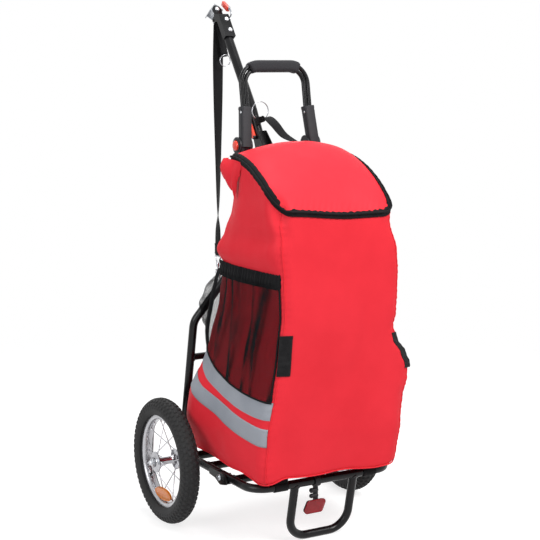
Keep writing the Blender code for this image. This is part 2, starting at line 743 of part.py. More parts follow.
def ring_sector(inner, outer, rise):
    """The outline of a band that wraps a tube and runs up above it, as its outer and inner loops."""
    outer_loop = arc((0, 0), outer, 180, 360, 8) + arc((0, rise), outer, 0, 180, 6)
    inner_loop = arc((0, 0), inner, 180, 360, 8) + arc((0, rise), inner, 0, 180, 6)
    return outer_loop, inner_loop


def build_strap_loop(side_name, side):
    """A webbing band that ties the bag's floor to the platform's front tube."""
    inner = TUBE_RADIUS + SEAT
    rise = BAG_BOTTOM - DECK_HEIGHT - inner - WEBBING_THICKNESS - SOFT_GAP
    outer_loop, inner_loop = ring_sector(inner, inner + WEBBING_THICKNESS, rise)
    place = Matrix.Translation((side * STRAP_LOOP_CENTRE, PLATFORM_Y, DECK_HEIGHT)) @ SIDEWAYS
    band = plate(f"{side_name}_bag_strap", outer_loop, STRAP_LOOP_WIDTH, "webbing", place)
    carve(band, plate("hollow", inner_loop, STRAP_LOOP_WIDTH * 1.5, None, place))


def slanted_outline(width, height, slant, corner):
    """A rounded parallelogram, wider at neither end, that leans to the right going up."""
    half_w, half_h = width / 2, height / 2
    corners = ((-half_w - slant / 2, -half_h), (half_w - slant / 2, -half_h))
    corners += ((half_w + slant / 2, half_h), (-half_w + slant / 2, half_h))
    ring = [(x, y, 0) for x, y in corners]
    path = rounded_path([ring[-1]] + ring + [ring[0]], corner, math.radians(30))
    return [(point.x, point.y) for point in path[1:-1]]


def build_rear_reflector():
    """A clamp on the front tube, an arm below it, a backing plate and the lens before it."""
    arm_x = REAR_REFLECTOR_X + REFLECTOR_ARM_SHIFT
    half = REFLECTOR_CLAMP_WIDTH / 2
    inner, outer = TUBE_RADIUS + SEAT, TUBE_RADIUS + 0.004
    profile = [(-half, inner), (-half, outer), (half, outer), (half, inner)]
    clamp_at = Matrix.Translation((arm_x, PLATFORM_Y, DECK_HEIGHT))
    mount = turned("reflector_mount", profile, "plastic", 18, place=clamp_at)
    lens_z = DECK_HEIGHT - REAR_REFLECTOR_DROP
    arm = block(
        "arm",
        (arm_x - half * 0.6, PLATFORM_Y - 0.004, lens_z),
        (arm_x + half * 0.6, PLATFORM_Y + 0.005, DECK_HEIGHT - outer + 0.002),
    )
    size = (REAR_REFLECTOR_WIDTH, REAR_REFLECTOR_HEIGHT, REAR_REFLECTOR_SLANT)
    backing = slanted_outline(size[0] - 0.003, size[1] - 0.003, size[2], 0.006)
    back_y = PLATFORM_Y - 0.0035
    backing_at = Matrix.Translation((REAR_REFLECTOR_X, back_y, lens_z)) @ FACING
    fuse(mount, arm, plate("backing", backing, 0.004, None, backing_at))
    lens_y = back_y - 0.002 - SEAT - REAR_REFLECTOR_DEPTH / 2 - 0.0005
    lens_at = Matrix.Translation((REAR_REFLECTOR_X, lens_y, lens_z)) @ FACING
    plate("reflector_lens", slanted_outline(*size, 0.007), REAR_REFLECTOR_DEPTH, "dark_red", lens_at, 0.001)


def hinge_point(side):
    return Vector((side * POST_HALF_SPACING, frame_y(HINGE_HEIGHT) + KNUCKLE_OFFSET, HINGE_HEIGHT))


def handle_frame():
    """The handle's plane: its origin is on the hinge axis, Z runs up the posts and Y points back."""
    origin = Vector((0, frame_y(HINGE_HEIGHT), HINGE_HEIGHT))
    return Matrix.Translation(origin) @ Matrix.Rotation(-HANDLE_LEAN, 4, "X")


def build_hinge_base(side_name, side):
    """The lower half of the folding joint: a socket on the post and two round cheeks."""
    pivot = hinge_point(side)
    x = side * POST_HALF_SPACING
    top, post_end = HINGE_HEIGHT - 0.004, HINGE_HEIGHT - 0.026
    low = post_end - SOCKET_DEPTH
    socket = cylinder(
        f"{side_name}_hinge_base",
        (x, frame_y(top), top),
        (x, frame_y(low), low),
        TUBE_RADIUS + 0.0045,
        "plastic",
        14,
    )
    half = X_AXIS * KNUCKLE_WIDTH / 2
    fuse(socket, cylinder("barrel", pivot - half, pivot + half, KNUCKLE_RADIUS))
    slot_half = X_AXIS * (TONGUE_WIDTH / 2 + SEAT)
    slot = cylinder("slot", pivot - slot_half, pivot + slot_half, KNUCKLE_RADIUS + 0.012)
    bore_start = (x, frame_y(post_end + SEAT), post_end + SEAT)
    bore_end = (x, frame_y(low - 0.01), low - 0.01)
    bore = cylinder("bore", bore_start, bore_end, TUBE_RADIUS + SEAT, sides=18)
    pocket_start = pivot + X_AXIS * side * (KNUCKLE_WIDTH / 2 - 0.006)
    pocket_end = pocket_start + X_AXIS * side * 0.02
    pocket = cylinder("pocket", pocket_start, pocket_end, BUTTON_RADIUS + RUNNING, sides=14)
    carve(socket, slot, bore, pocket)


def build_button(side_name, side):
    pivot = hinge_point(side)
    face = KNUCKLE_WIDTH / 2
    inner, outer = side * (face - 0.0018), side * (face + BUTTON_STICK_OUT)
    profile = [
        (inner, 0),
        (inner, BUTTON_RADIUS),
        (outer - side * 0.003, BUTTON_RADIUS),
        (outer - side * 0.001, BUTTON_RADIUS * 0.85),
        (outer, BUTTON_RADIUS * 0.5),
        (outer, 0),
    ]
    turned(f"{side_name}_fold_button", profile, "button_red", 14, place=Matrix.Translation(pivot))


def build_sleeve(side_name, side):
    """The upper half of the folding joint: a sleeve for the two rods, ending in a round tongue."""
    half_w, half_d = SLEEVE_WIDTH / 2, SLEEVE_DEPTH / 2
    ring = [(-half_w, -half_d, 0), (half_w, -half_d, 0), (half_w, half_d, 0), (-half_w, half_d, 0)]
    path = rounded_path([ring[-1]] + ring + [ring[0]], 0.006, math.radians(46))
    outline = [(point.x, point.y) for point in path[1:-1]]
    low = -0.004
    tilt = math.atan2(POST_HALF_SPACING - ROD_HALF_SPACING, SLEEVE_LENGTH)
    place = handle_frame() @ Matrix.Translation((side * POST_HALF_SPACING, 0, 0))
    place = place @ Matrix.Rotation(-side * tilt, 4, "Y")
    centre = place @ Matrix.Translation((0, 0, (low + SLEEVE_LENGTH) / 2))
    sleeve = plate(f"{side_name}_handle_sleeve", outline, SLEEVE_LENGTH - low, "plastic", centre)
    pivot = hinge_point(side)
    wide = X_AXIS * KNUCKLE_WIDTH
    carve(sleeve, cylinder("round", pivot - wide, pivot + wide, KNUCKLE_RADIUS + SEAT * 3, sides=18))
    half = X_AXIS * TONGUE_WIDTH / 2
    tongue = cylinder("tongue", pivot - half, pivot + half, KNUCKLE_RADIUS)
    low_corner = (-TONGUE_WIDTH / 2 + 0.003, -half_d * 0.8, 0.006)
    high_corner = (TONGUE_WIDTH / 2 - 0.003, half_d * 0.8, 0.032)
    fuse(sleeve, tongue, block("neck", low_corner, high_corner, None, place))
    for offset in (-ROD_SPACING / 2, ROD_SPACING / 2):
        x = side * (ROD_HALF_SPACING + offset)
        start = handle_frame() @ Vector((x, 0, SLEEVE_LENGTH - ROD_SOCKET - SEAT))
        end = handle_frame() @ Vector((x, 0, SLEEVE_LENGTH + 0.02))
        carve(sleeve, cylinder("socket", start, end, ROD_RADIUS + SEAT, sides=10))


def hoop_points(offset, start):
    """A handle hoop's corners in the handle's plane; offset moves it out from the middle line."""
    x, top = ROD_HALF_SPACING + offset, HANDLE_LENGTH + offset
    return [(-x, 0, start), (-x, 0, top), (x, 0, top), (x, 0, start)]


def build_handle():
    place = handle_frame()
    start = SLEEVE_LENGTH - ROD_SOCKET
    for name, offset in (("inner_handle_rod", -ROD_SPACING / 2), ("outer_handle_rod", ROD_SPACING / 2)):
        path = rounded_path(hoop_points(offset, start), HANDLE_CORNER + offset)
        tube(name, [place @ point for point in path], ROD_RADIUS, "frame_paint", 2)
    build_grip(place)
    for side_name, side in SIDES:
        build_hinge_base(side_name, side)
        build_sleeve(side_name, side)
        build_button(side_name, side)


def build_grip(place):
    """A foam sleeve over both rods that follows the start of their bends."""
    middle = rounded_path(hoop_points(0, 0), HANDLE_CORNER, math.radians(13))
    inside = [point for point in middle if abs(point.x) < GRIP_HALF_LENGTH]
    rings = []
    for index, point in enumerate(inside):
        before, after = inside[max(index - 1, 0)], inside[min(index + 1, len(inside) - 1)]
        along = (after - before).normalized()
        up = Vector((-along.z, 0, along.x))
        size = 0.9 if index in (0, len(inside) - 1) else 1.0
        ring = []
        for step in range(12):
            angle = math.tau * step / 12
            out = up * math.cos(angle) * GRIP_HEIGHT / 2 + Y_AXIS * math.sin(angle) * GRIP_DEPTH / 2
            ring.append(place @ (point + out * size))
        rings.append(ring)
    grip = loft("handle_grip", rings, "foam")
    for offset in (-ROD_SPACING / 2, ROD_SPACING / 2):
        path = rounded_path(hoop_points(offset, HANDLE_LENGTH - 0.06), HANDLE_CORNER + offset)
        carve(grip, tube("channel", [place @ point for point in path], ROD_RADIUS + SEAT, None, 2))


def tow_frame():
    """The tow bar's lower stretch: its origin is the pivot, Z runs up the bar and -Y faces front."""
    pivot = Vector((0, AXLE_Y + TOW_PIVOT_BACK, TOW_PIVOT_HEIGHT))
    return Matrix.Translation(pivot) @ Matrix.Rotation(-TOW_LOWER_LEAN, 4, "X")


def hitch_frame():
    """The tow bar's upper end: Z runs on along the bar and -Y faces front and up."""
    bend = tow_frame() @ Vector((0, 0, TOW_LOWER_LENGTH))
    along = Vector((0, math.sin(TOW_UPPER_LEAN), math.cos(TOW_UPPER_LEAN)))
    end = bend + along * TOW_UPPER_LENGTH
    return Matrix.Translation(end) @ Matrix.Rotation(-TOW_UPPER_LEAN, 4, "X")


def build_tow_bar():
    place, hitch = tow_frame(), hitch_frame()
    points = [
        place @ Vector((0, 0, -TOW_TAIL)),
        place @ Vector((0, 0, TOW_LOWER_LENGTH)),
        hitch @ Vector((0, 0, -0.0032)),
    ]
    bar = tube("tow_bar_tube", rounded_path(points, 0.20, math.radians(4)), TOW_RADIUS, "frame_paint", 4)
    across = X_AXIS * 0.03
    pivot = place @ Vector((0, 0, 0))
    carve(bar, cylinder("hole", pivot - across, pivot + across, TOW_BOLT_RADIUS + RUNNING, sides=12))
    for height in hitch_bolt_heights():
        ends = [hitch @ Vector((HITCH_BOLT_OFFSET, y, height)) for y in (-0.03, 0.03)]
        carve(bar, cylinder("hole", *ends, HITCH_BOLT_RADIUS + RUNNING, sides=10))


def hitch_bolt_heights():
    return (HITCH_BOLT_LOWER, HITCH_BOLT_UPPER)


def build_tow_bracket():
    """Two cheeks on the upper crossbar and a web before the bar; the bar folds back out of them."""
    place = tow_frame()
    inner = TOW_RADIUS + CHEEK_CLEARANCE
    bar_at = place.inverted() @ Vector((0, frame_y(UPPER_BAR_HEIGHT), UPPER_BAR_HEIGHT))
    top = TOW_BRACKET_LENGTH - 0.006
    circles = [
        (bar_at.y, bar_at.z, UPPER_BAR_RADIUS + 0.005),
        (0.0, 0.0, 0.012),
        (-0.002, top, 0.006),
        (-inner - CHEEK_THICKNESS + 0.006, top, 0.006),
    ]
    outline = hull_of_circles(circles, 4)
    cheeks = []
    for side in (LEFT, RIGHT):
        middle = Matrix.Translation((side * (inner + CHEEK_THICKNESS / 2), 0, 0))
        at = place @ middle @ SIDEWAYS
        cheeks.append(plate("tow_bracket", outline, CHEEK_THICKNESS, "frame_paint", at))
    web = block(
        "web",
        (-inner - 0.001, -inner - CHEEK_THICKNESS, TOW_BRACKET_START),
        (inner + 0.001, -inner, TOW_BRACKET_LENGTH - 0.003),
        None,
        place,
    )
    bracket = fuse(cheeks[0], cheeks[1], web)
    reach = X_AXIS * 0.03
    bar = Vector((0, frame_y(UPPER_BAR_HEIGHT), UPPER_BAR_HEIGHT))
    carve(bracket, cylinder("hole", bar - reach, bar + reach, UPPER_BAR_RADIUS + SEAT, sides=12))
    pivot = place @ Vector((0, 0, 0))
    carve(bracket, cylinder("hole", pivot - reach, pivot + reach, TOW_BOLT_RADIUS + RUNNING, sides=12))
    build_tow_pivot(place, inner + CHEEK_THICKNESS + SEAT)
    build_lock_lever(place, inner + CHEEK_THICKNESS)


def build_tow_pivot(place, face):
    profile = [
        (-face - 0.005, 0),
        (-face - 0.004, 0.0075),
        (-face, 0.0078),
        (-face, TOW_BOLT_RADIUS),
        (face, TOW_BOLT_RADIUS),
        (face, 0.0070),
        (face + 0.006, 0.0070),
        (face + 0.006, 0),
    ]
    turned("tow_pivot_bolt", profile, "zinc", 12, place=place)


def lever_pivot():
    return tow_frame() @ Vector((0, -0.005, LEVER_HEIGHT))


def build_lock_lever(place, cheek_face):
    """The red lever on the bracket's left cheek that lets the tow bar fold."""
    outline = hull_of_circles([(0.004, LEVER_LENGTH, LEVER_WIDTH * 0.40), (0, 0, LEVER_WIDTH / 2)], 7)
    at = place.inverted() @ lever_pivot()
    x = -(cheek_face + SEAT + LEVER_THICKNESS / 2)
    local = Matrix.Translation((x, at.y, at.z)) @ SIDEWAYS
    plate("lock_lever", outline, LEVER_THICKNESS, "button_red", place @ local, bevel=0.0015)


def build_hitch():
    """The folded steel bracket on the tow bar's end, with its ear, strap pin, jaw and latch."""
    place = hitch_frame()
    inner = TOW_RADIUS + SEAT
    outer = inner + HITCH_PLATE
    low, end = -HITCH_OVERLAP, HITCH_JOGGLE_START
    web_centre = -(inner + HITCH_PLATE / 2)
    web_outline = [(-outer, low), (outer, low), (outer, end), (-outer, end)]
    web_at = place @ Matrix.Translation((0, web_centre, 0)) @ FACING
    bracket = plate("hitch_bracket", web_outline, HITCH_PLATE, "frame_paint", web_at)
    joggle = [(-outer, end - 0.003), (-inner + 0.0005, end - 0.003)]
    ear_front = web_centre + HITCH_JOGGLE - HITCH_PLATE / 2
    joggle += [(ear_front + HITCH_PLATE, HITCH_JOGGLE_END - 0.001)]
    joggle += [(ear_front + HITCH_PLATE, HITCH_JOGGLE_END + 0.001), (ear_front, HITCH_JOGGLE_END + 0.002)]
    fuse(bracket, plate("joggle", joggle, 2 * outer, None, place @ SIDEWAYS))
    ear_outline = [(x * HITCH_EAR_RADIUS, HITCH_JOGGLE_END - 0.001) for x in (-1, 1)]
    ear_outline += arc((0, HITCH_EAR), HITCH_EAR_RADIUS, 0, 180, 8)
    ear_at = place @ Matrix.Translation((0, ear_front + HITCH_PLATE / 2, 0)) @ FACING
    fuse(bracket, plate("ear", ear_outline, HITCH_PLATE, None, ear_at))
    pin_at = (STRAP_PIN_BACK, STRAP_PIN_RISE)
    flange = [(-outer + 0.0005, low), (0.003, low), (0.003, -0.010)]
    flange += arc(pin_at, 0.0055, -80, 80, 4)
    flange += [(ear_front + 0.001, HITCH_JOGGLE_END), (-outer + 0.0005, end - 0.0005)]
    for side in (LEFT, RIGHT):
        middle = Matrix.Translation((side * (inner + HITCH_PLATE / 2), 0, 0))
        fuse(bracket, plate("flange", flange, HITCH_PLATE, None, place @ middle @ SIDEWAYS))
    for height in hitch_bolt_heights():
        ends = [place @ Vector((HITCH_BOLT_OFFSET, y, height)) for y in (-0.03, 0.0)]
        carve(bracket, cylinder("hole", *ends, HITCH_BOLT_RADIUS + RUNNING, sides=10))
    ends = [place @ Vector((0, y, HITCH_EAR)) for y in (-0.03, 0.03)]
    carve(bracket, cylinder("hole", *ends, HITCH_BOLT_RADIUS + RUNNING, sides=10))
    pin = [place @ Vector((x * (outer + 0.0015), *pin_at)) for x in (-1, 1)]
    fuse(bracket, cylinder("pin", *pin, STRAP_PIN_RADIUS, sides=8))
    for name, height in zip(("lower_hitch_bolt", "upper_hitch_bolt"), hitch_bolt_heights()):
        at = place @ Matrix.Translation((HITCH_BOLT_OFFSET, 0, height))
        build_hitch_bolt(name, at, -outer, TOW_RADIUS + SEAT)
    build_jaw(place, ear_front)
    build_latch(place, outer)


def build_hitch_bolt(name, place, front, back):
    """A round-headed bolt along Y with its nut; front and back are the faces it holds together."""
    profile = [
        (front - SEAT - 0.0042, 0),
        (front - SEAT - 0.0034, HITCH_BOLT_HEAD * 0.7),
        (front - SEAT, HITCH_BOLT_HEAD),
        (front - SEAT, HITCH_BOLT_RADIUS),
        (back + SEAT, HITCH_BOLT_RADIUS),
        (back + SEAT, HITCH_BOLT_HEAD * 0.85),
        (back + SEAT + 0.005, HITCH_BOLT_HEAD * 0.85),
        (back + SEAT + 0.005, 0),
    ]
    turned(name, profile, "zinc", 10, axis=Y_AXIS, place=place)


def build_jaw(place, ear_front):
    """The steel jaw behind the ear that grips the bicycle's coupling, and the bolt it turns on."""
    half, wall = JAW_HALF_WIDTH, JAW_WALL
    base = ear_front + HITCH_PLATE + SEAT
    at = place @ Matrix.Translation((0, base, HITCH_EAR)) @ Matrix.Rotation(JAW_TURN, 4, "Y")
    jaw = block("hitch_jaw", (-half, 0, -JAW_LENGTH / 2), (half, wall, JAW_LENGTH / 2), "zinc", at)
    for side in (LEFT, RIGHT):
        xs = sorted((side * half, side * (half - wall)))
        low, high = (xs[0], 0, -JAW_LENGTH / 2), (xs[1], JAW_DEPTH, JAW_LENGTH / 2)
        fuse(jaw, block("side", low, high, None, at))
    teeth = [at @ Vector((x, JAW_DEPTH, 0)) for x in (-0.03, 0.03)]
    carve(jaw, cylinder("notch", *teeth, 0.007, sides=12))
    ends = [at @ Vector((0, y, 0)) for y in (-0.02, 0.02)]
    carve(jaw, cylinder("hole", *ends, HITCH_BOLT_RADIUS + RUNNING, sides=10))
    bolt_at = place @ Matrix.Translation((0, 0, HITCH_EAR))
    build_hitch_bolt("jaw_bolt", bolt_at, ear_front, base + wall)


def latch_pivot():
    return hitch_frame() @ Vector((0, -0.003, -0.006))


def build_latch(place, outer):
    """The sprung latch beside the jaw: a bent steel rod on an eye, with a cap to press."""
    at = place.inverted() @ latch_pivot()
    x = outer + SEAT + 0.003
    eye = [place @ Vector((x + side * 0.003, at.y, at.z)) for side in (LEFT, RIGHT)]
    latch = cylinder("hitch_latch", *eye, 0.0052, "zinc", 14)
    points = [(x, at.y, at.z), (x, -0.0215, -0.0055), (x, -0.0225, 0.009), (x, -0.012, 0.024)]
    path = [place @ point for point in rounded_path(points, 0.006, math.radians(25))]
    cap_centre = place @ Matrix.Translation((x + 0.0005, -0.0098, 0.0275))
    lean = Matrix.Rotation(math.radians(-32), 4, "X")
    size = (LATCH_CAP_THICKNESS / 2, LATCH_CAP_WIDTH / 2, LATCH_CAP_LENGTH / 2)
    cap = block("cap", [-value for value in size], size, None, cap_centre @ lean, bevel=0.0015)
    fuse(latch, tube("rod", path, LATCH_ROD_RADIUS, None, 1), cap)


def strap_anchor():
    return hitch_frame() @ Vector((0, STRAP_PIN_BACK, STRAP_PIN_RISE))


def ribbon(name, points, widths, thickness, turns, material):
    """A flat strap along points; turns gives its twist at each point as an angle about its run."""
    if not isinstance(widths, (list, tuple)):
        widths = [widths] * len(points)
    rings = []
    for index, point in enumerate(points):
        before, after = points[max(index - 1, 0)], points[min(index + 1, len(points) - 1)]
        along = (after - before).normalized()
        side = (X_AXIS - along * X_AXIS.dot(along)).normalized()
        turned_side = Matrix.Rotation(turns[index], 3, along) @ side
        flat = along.cross(turned_side)
        corners = ((-1, -1), (1, -1), (1, 1), (-1, 1))
        wide, deep = turned_side * widths[index] / 2, flat * thickness / 2
        rings.append([point + wide * a + deep * b for a, b in corners])
    return loft(name, rings, material)


# The safety strap below its pin: (share of its length, sideways, backwards, twist in degrees)
STRAP_ROUTE = (
    (0.00, 0.0000, 0.0000, 0),
    (0.04, 0.0000, 0.0008, -1),
    (0.16, 0.0000, 0.0030, -6),
    (0.30, 0.0004, 0.0044, 4),
    (0.46, 0.0004, 0.0050, 20),
    (0.60, 0.0000, 0.0048, 33),
    (0.74, -0.0010, 0.0040, 46),
    (0.82, -0.0020, 0.0032, 60),
    (0.89, -0.0030, 0.0022, 86),
    (1.00, -0.0040, 0.0010, 92),
)


def strap_points():
    top = strap_anchor() - Z_AXIS * (STRAP_PIN_RADIUS + SEAT)
    points = []
    for share, sideways, backwards, _ in STRAP_ROUTE:
        points.append(top + Vector((sideways, backwards, -share * SAFETY_STRAP_LENGTH)))
    return points


def build_safety_strap():
    points = strap_points()
    turns = [math.radians(-row[3]) for row in STRAP_ROUTE]
    widths = [SAFETY_STRAP_GATHER] + [SAFETY_STRAP_WIDTH] * (len(points) - 1)
    ribbon("safety_strap", points, widths, WEBBING_THICKNESS, turns, "webbing")
    build_ring_tab()
    build_snap_hook(points[-1])


def build_ring_tab():
    """The short branch of webbing with a split ring, which the hook clips to in use."""
    start = strap_anchor() + Vector((0.001, -WEBBING_THICKNESS - SOFT_GAP * 2, -STRAP_PIN_RADIUS - 0.006))
    end = start + Vector((0.011, -0.009, -0.072))
    points = [start, start.lerp(end, 0.25), start.lerp(end, 0.6), end]
    widths = [RING_TAB_WIDTH - 0.001, RING_TAB_WIDTH, RING_TAB_WIDTH, RING_TAB_WIDTH - 0.002]
    ribbon("ring_tab", points, widths, WEBBING_THICKNESS, [0] * 4, "webbing")
    ring_at = end - Z_AXIS * (SPLIT_RING_RADIUS + SPLIT_RING_WIRE + SEAT)
    circle = arc((0, SPLIT_RING_RADIUS), SPLIT_RING_WIRE, 0, 360, 6)[:-1]
    turned("safety_ring", circle, "chrome", 16, axis=Y_AXIS, place=Matrix.Translation(ring_at))


def build_snap_hook(strap_end):
    """A swivel eye on the webbing, a snap hook that turns under it and the hook's sprung gate."""
    wire = 0.0018
    x, y, z = strap_end
    eye_low = z - 0.019
    half = SAFETY_STRAP_WIDTH / 2 + 0.0015
    corners = [
        (x, y - half, z - SEAT - wire),
        (x, y + half, z - SEAT - wire),
        (x, y + 0.005, eye_low),
        (x, y - 0.005, eye_low),
    ]
    ring = rounded_path([corners[-1]] + corners + [corners[0]], 0.0025, math.radians(50))[1:-1]
    eye = loft("hook_eye", rings_round(ring, wire, 6), "chrome", closed_ends=False)
    fuse(eye, cylinder("collar", (x, y, eye_low + 0.001), (x, y, eye_low - 0.006), 0.0048, sides=12))
    top = eye_low - 0.006 - SEAT
    low = top - SNAP_HOOK_LENGTH + 0.020
    r, rod = SNAP_HOOK_WIDTH / 2 - 0.003, 0.0026
    points = [
        (x, y, top - 0.0005),
        (x, y, top - 0.010),
        (x, y - r, top - 0.018),
        (x, y - r, low),
        (x, y + r, low),
        (x, y + r, low + 0.013),
    ]
    radii = [0.006, 0.006, r * 0.9, r * 0.9]
    hook = tube("snap_hook", rounded_path(points, radii, math.radians(24)), rod, "chrome", 1)
    fuse(hook, cylinder("head", (x, y, top), (x, y, top - 0.006), 0.0048, sides=12))
    pivot = Vector((x, y + 0.005, top - 0.0125))
    towards_nose = (Vector(points[-1]) - pivot).normalized()
    gate_top, gate_end = pivot - towards_nose * 0.0015, pivot + towards_nose * 0.006
    cylinder("hook_gate", gate_top, gate_end, 0.0019, "chrome", 8)


def rings_round(path, radius, sides):
    """Round rings along a closed path, with the first repeated at the end."""
    rings = []
    count = len(path)
    for index in range(count + 1):
        point = path[index % count]
        along = (path[(index + 1) % count] - path[(index - 1) % count]).normalized()
        out = along.cross(X_AXIS).normalized()
        angles = [math.tau * step / sides for step in range(sides)]
        rings.append([point + (out * math.cos(a) + X_AXIS * math.sin(a)) * radius for a in angles])
    return rings


def bag_back_y(height):
    return frame_y(height) - TUBE_RADIUS - BAG_BACK_GAP


def bag_half_width(height, depth=0.0):
    """Half the bag's width; the depth share runs from 0 at the front to 1 at the back."""
    low = BAG_WIDTHS[0]
    half, bow = low[1:]
    for high in BAG_WIDTHS[1:]:
        if height <= low[0]:
            break
        share = min(1.0, (height - low[0]) / (high[0] - low[0]))
        half = low[1] + (high[1] - low[1]) * share
        bow = low[2] + (high[2] - low[2]) * share
        low = high
    return half + bow * math.sin(math.pi * min(1.0, max(0.0, depth)) ** 0.85)


def bag_rim(depth_share):
    """The height of the bag's sloped mouth; the share runs from 0 at the front to 1 at the back."""
    before = max(0.0, 1 - depth_share)
    return BAG_RIM_FRONT + (BAG_RIM_BACK - BAG_RIM_FRONT) * (1 - before**2.6)


def bag_outline(steps=3):
    """The bag's plan as (across, front to back), each from -1 to 1 and from 0 to 1."""
    half, deep = 0.150, 0.300
    ring = [(-half, 0, 0), (half, 0, 0), (half, deep, 0), (-half, deep, 0)]
    path = rounded_path([ring[-1]] + ring + [ring[0]], BAG_CORNER, math.radians(90 / steps))[1:-1]
    points = []
    count = len(path)
    for index, point in enumerate(path):
        following = path[(index + 1) % count]
        points.append(point)
        pieces = int((following - point).length / 0.08)
        for piece in range(1, pieces + 1):
            points.append(point.lerp(following, piece / (pieces + 1)))
    return [(point.x / half, point.y / deep) for point in points]


def bag_ring(height_of, inset):
    """One ring of the bag's wall; height_of gives a height for each front-to-back share."""
    ring = []
    for across, depth in bag_outline():
        height = height_of(depth)
        front, back = BAG_FRONT_Y + inset, bag_back_y(height) - inset
        half = bag_half_width(height, depth) - inset
        ring.append(Vector((across * half, front + (back - front) * depth, height)))
    return ring


def build_bag():
    levels = (0.0, 0.25, 0.5, 0.75, 1.0)

    def between(low, high, share):
        return lambda depth: low(depth) + (high(depth) - low(depth)) * share

    def flat(height):
        return lambda depth: height

    upper_low = flat(BAG_SPLIT + SOFT_GAP)
    outside = [bag_ring(between(upper_low, bag_rim, share), 0) for share in levels]
    inside = [bag_ring(between(upper_low, bag_rim, share), BAG_WALL) for share in reversed(levels)]
    loft("bag_upper", outside + inside + outside[:1], "red_fabric", closed_ends=False)
    lower_levels = (0.0, 0.5, 1.0)
    floor, top = flat(BAG_BOTTOM), flat(BAG_SPLIT)
    floor_top = flat(BAG_BOTTOM + BAG_WALL)
    outside = [bag_ring(between(floor, top, share), 0) for share in lower_levels]
    inside = [bag_ring(between(floor_top, top, share), BAG_WALL) for share in reversed(lower_levels)]
    loft("bag_lower", outside + inside, "red_fabric")
    build_lid()
    for side_name, side in SIDES:
        build_pocket(side_name, side)


def lid_height(across, depth, lift):
    """The lid's surface: the mouth's slope with a crown along its middle."""
    crown = LID_CROWN * (1 - across**2) * math.sin(math.pi * depth**1.5) ** 0.8
    return bag_rim(depth) + lift + crown


def build_lid():
    """A domed flap over the mouth that lies on the bag's rim."""
    rows, columns = 8, 8
    bm = bmesh.new()

    def surface(lift):
        grid = []
        for row in range(rows + 1):
            depth = row / rows
            line = []
            for column in range(columns + 1):
                across = -1 + 2 * column / columns
                height = lid_height(across, depth, lift)
                base = bag_rim(depth)
                back = bag_back_y(base) - LID_GAP
                half = bag_half_width(base, depth)
                y = BAG_FRONT_Y + (back - BAG_FRONT_Y) * depth
                line.append(bm.verts.new((across * half, y, height)))
            grid.append(line)
        return grid

    under, over = surface(LID_GAP), surface(LID_GAP + LID_THICKNESS)
    for grid, flip in ((under, True), (over, False)):
        for row in range(rows):
            for column in range(columns):
                quad = [grid[row][column], grid[row][column + 1]]
                quad += [grid[row + 1][column + 1], grid[row + 1][column]]
                bm.faces.new(quad[::-1] if flip else quad)
    border = [(0, c) for c in range(columns)] + [(r, columns) for r in range(rows)]
    border += [(rows, c) for c in range(columns, 0, -1)] + [(r, 0) for r in range(rows, 0, -1)]
    for index, (row, column) in enumerate(border):
        next_row, next_column = border[(index + 1) % len(border)]
        bm.faces.new(
            (
                under[row][column],
                under[next_row][next_column],
                over[next_row][next_column],
                over[row][column],
            )
        )
    add_object("bag_lid", mesh_from(bm, "bag_lid"), "red_fabric")


def pocket_edge_y(height):
    return bag_back_y(height) - 0.012


def build_pocket(side_name, side):
    """A slack mesh panel on the bag's side, open at the top, whose other edges lie on the bag."""
    rows, columns = 6, 7
    bm = bmesh.new()

    def surface(offset):
        grid = []
        for row in range(rows + 1):
            rise = row / rows
            line = []
            for column in range(columns + 1):
                share = column / columns
                low = POCKET_BOTTOM_FRONT + (POCKET_BOTTOM_BACK - POCKET_BOTTOM_FRONT) * share**1.3
                high = POCKET_TOP_FRONT + (POCKET_TOP_BACK - POCKET_TOP_FRONT) * share
                height = low + (high - low) * rise
                front, back = AXLE_Y - POCKET_FRONT, pocket_edge_y(height)
                y = front + (back - front) * share
                hump = math.sin(math.pi * share) ** 0.7
                swell = POCKET_BULGE * hump * math.sin(math.pi * min(1.0, rise * 0.62 + 0.0))
                depth = (y - BAG_FRONT_Y) / (bag_back_y(height) - BAG_FRONT_Y)
                x = bag_half_width(height, depth) + 1.6 * SOFT_GAP + swell + offset
                line.append(bm.verts.new((side * x, y, height)))
            grid.append(line)
        return grid

    near, far = surface(0.0), surface(POCKET_WALL)
    for grid, flip in ((near, side > 0), (far, side < 0)):
        for row in range(rows):
            for column in range(columns):
                quad = [grid[row][column], grid[row][column + 1]]
                quad += [grid[row + 1][column + 1], grid[row + 1][column]]
                bm.faces.new(quad[::-1] if flip else quad)
    border = [(0, c) for c in range(columns)] + [(r, columns) for r in range(rows)]
    border += [(rows, c) for c in range(columns, 0, -1)] + [(r, 0) for r in range(rows, 0, -1)]
    for index, (row, column) in enumerate(border):
        next_row, next_column = border[(index + 1) % len(border)]
        bm.faces.new(
            (
                near[row][column],
                near[next_row][next_column],
                far[next_row][next_column],
                far[row][column],
            )
        )
    add_object(f"{side_name}_mesh_pocket", mesh_from(bm, "pocket"), "mesh_fabric")


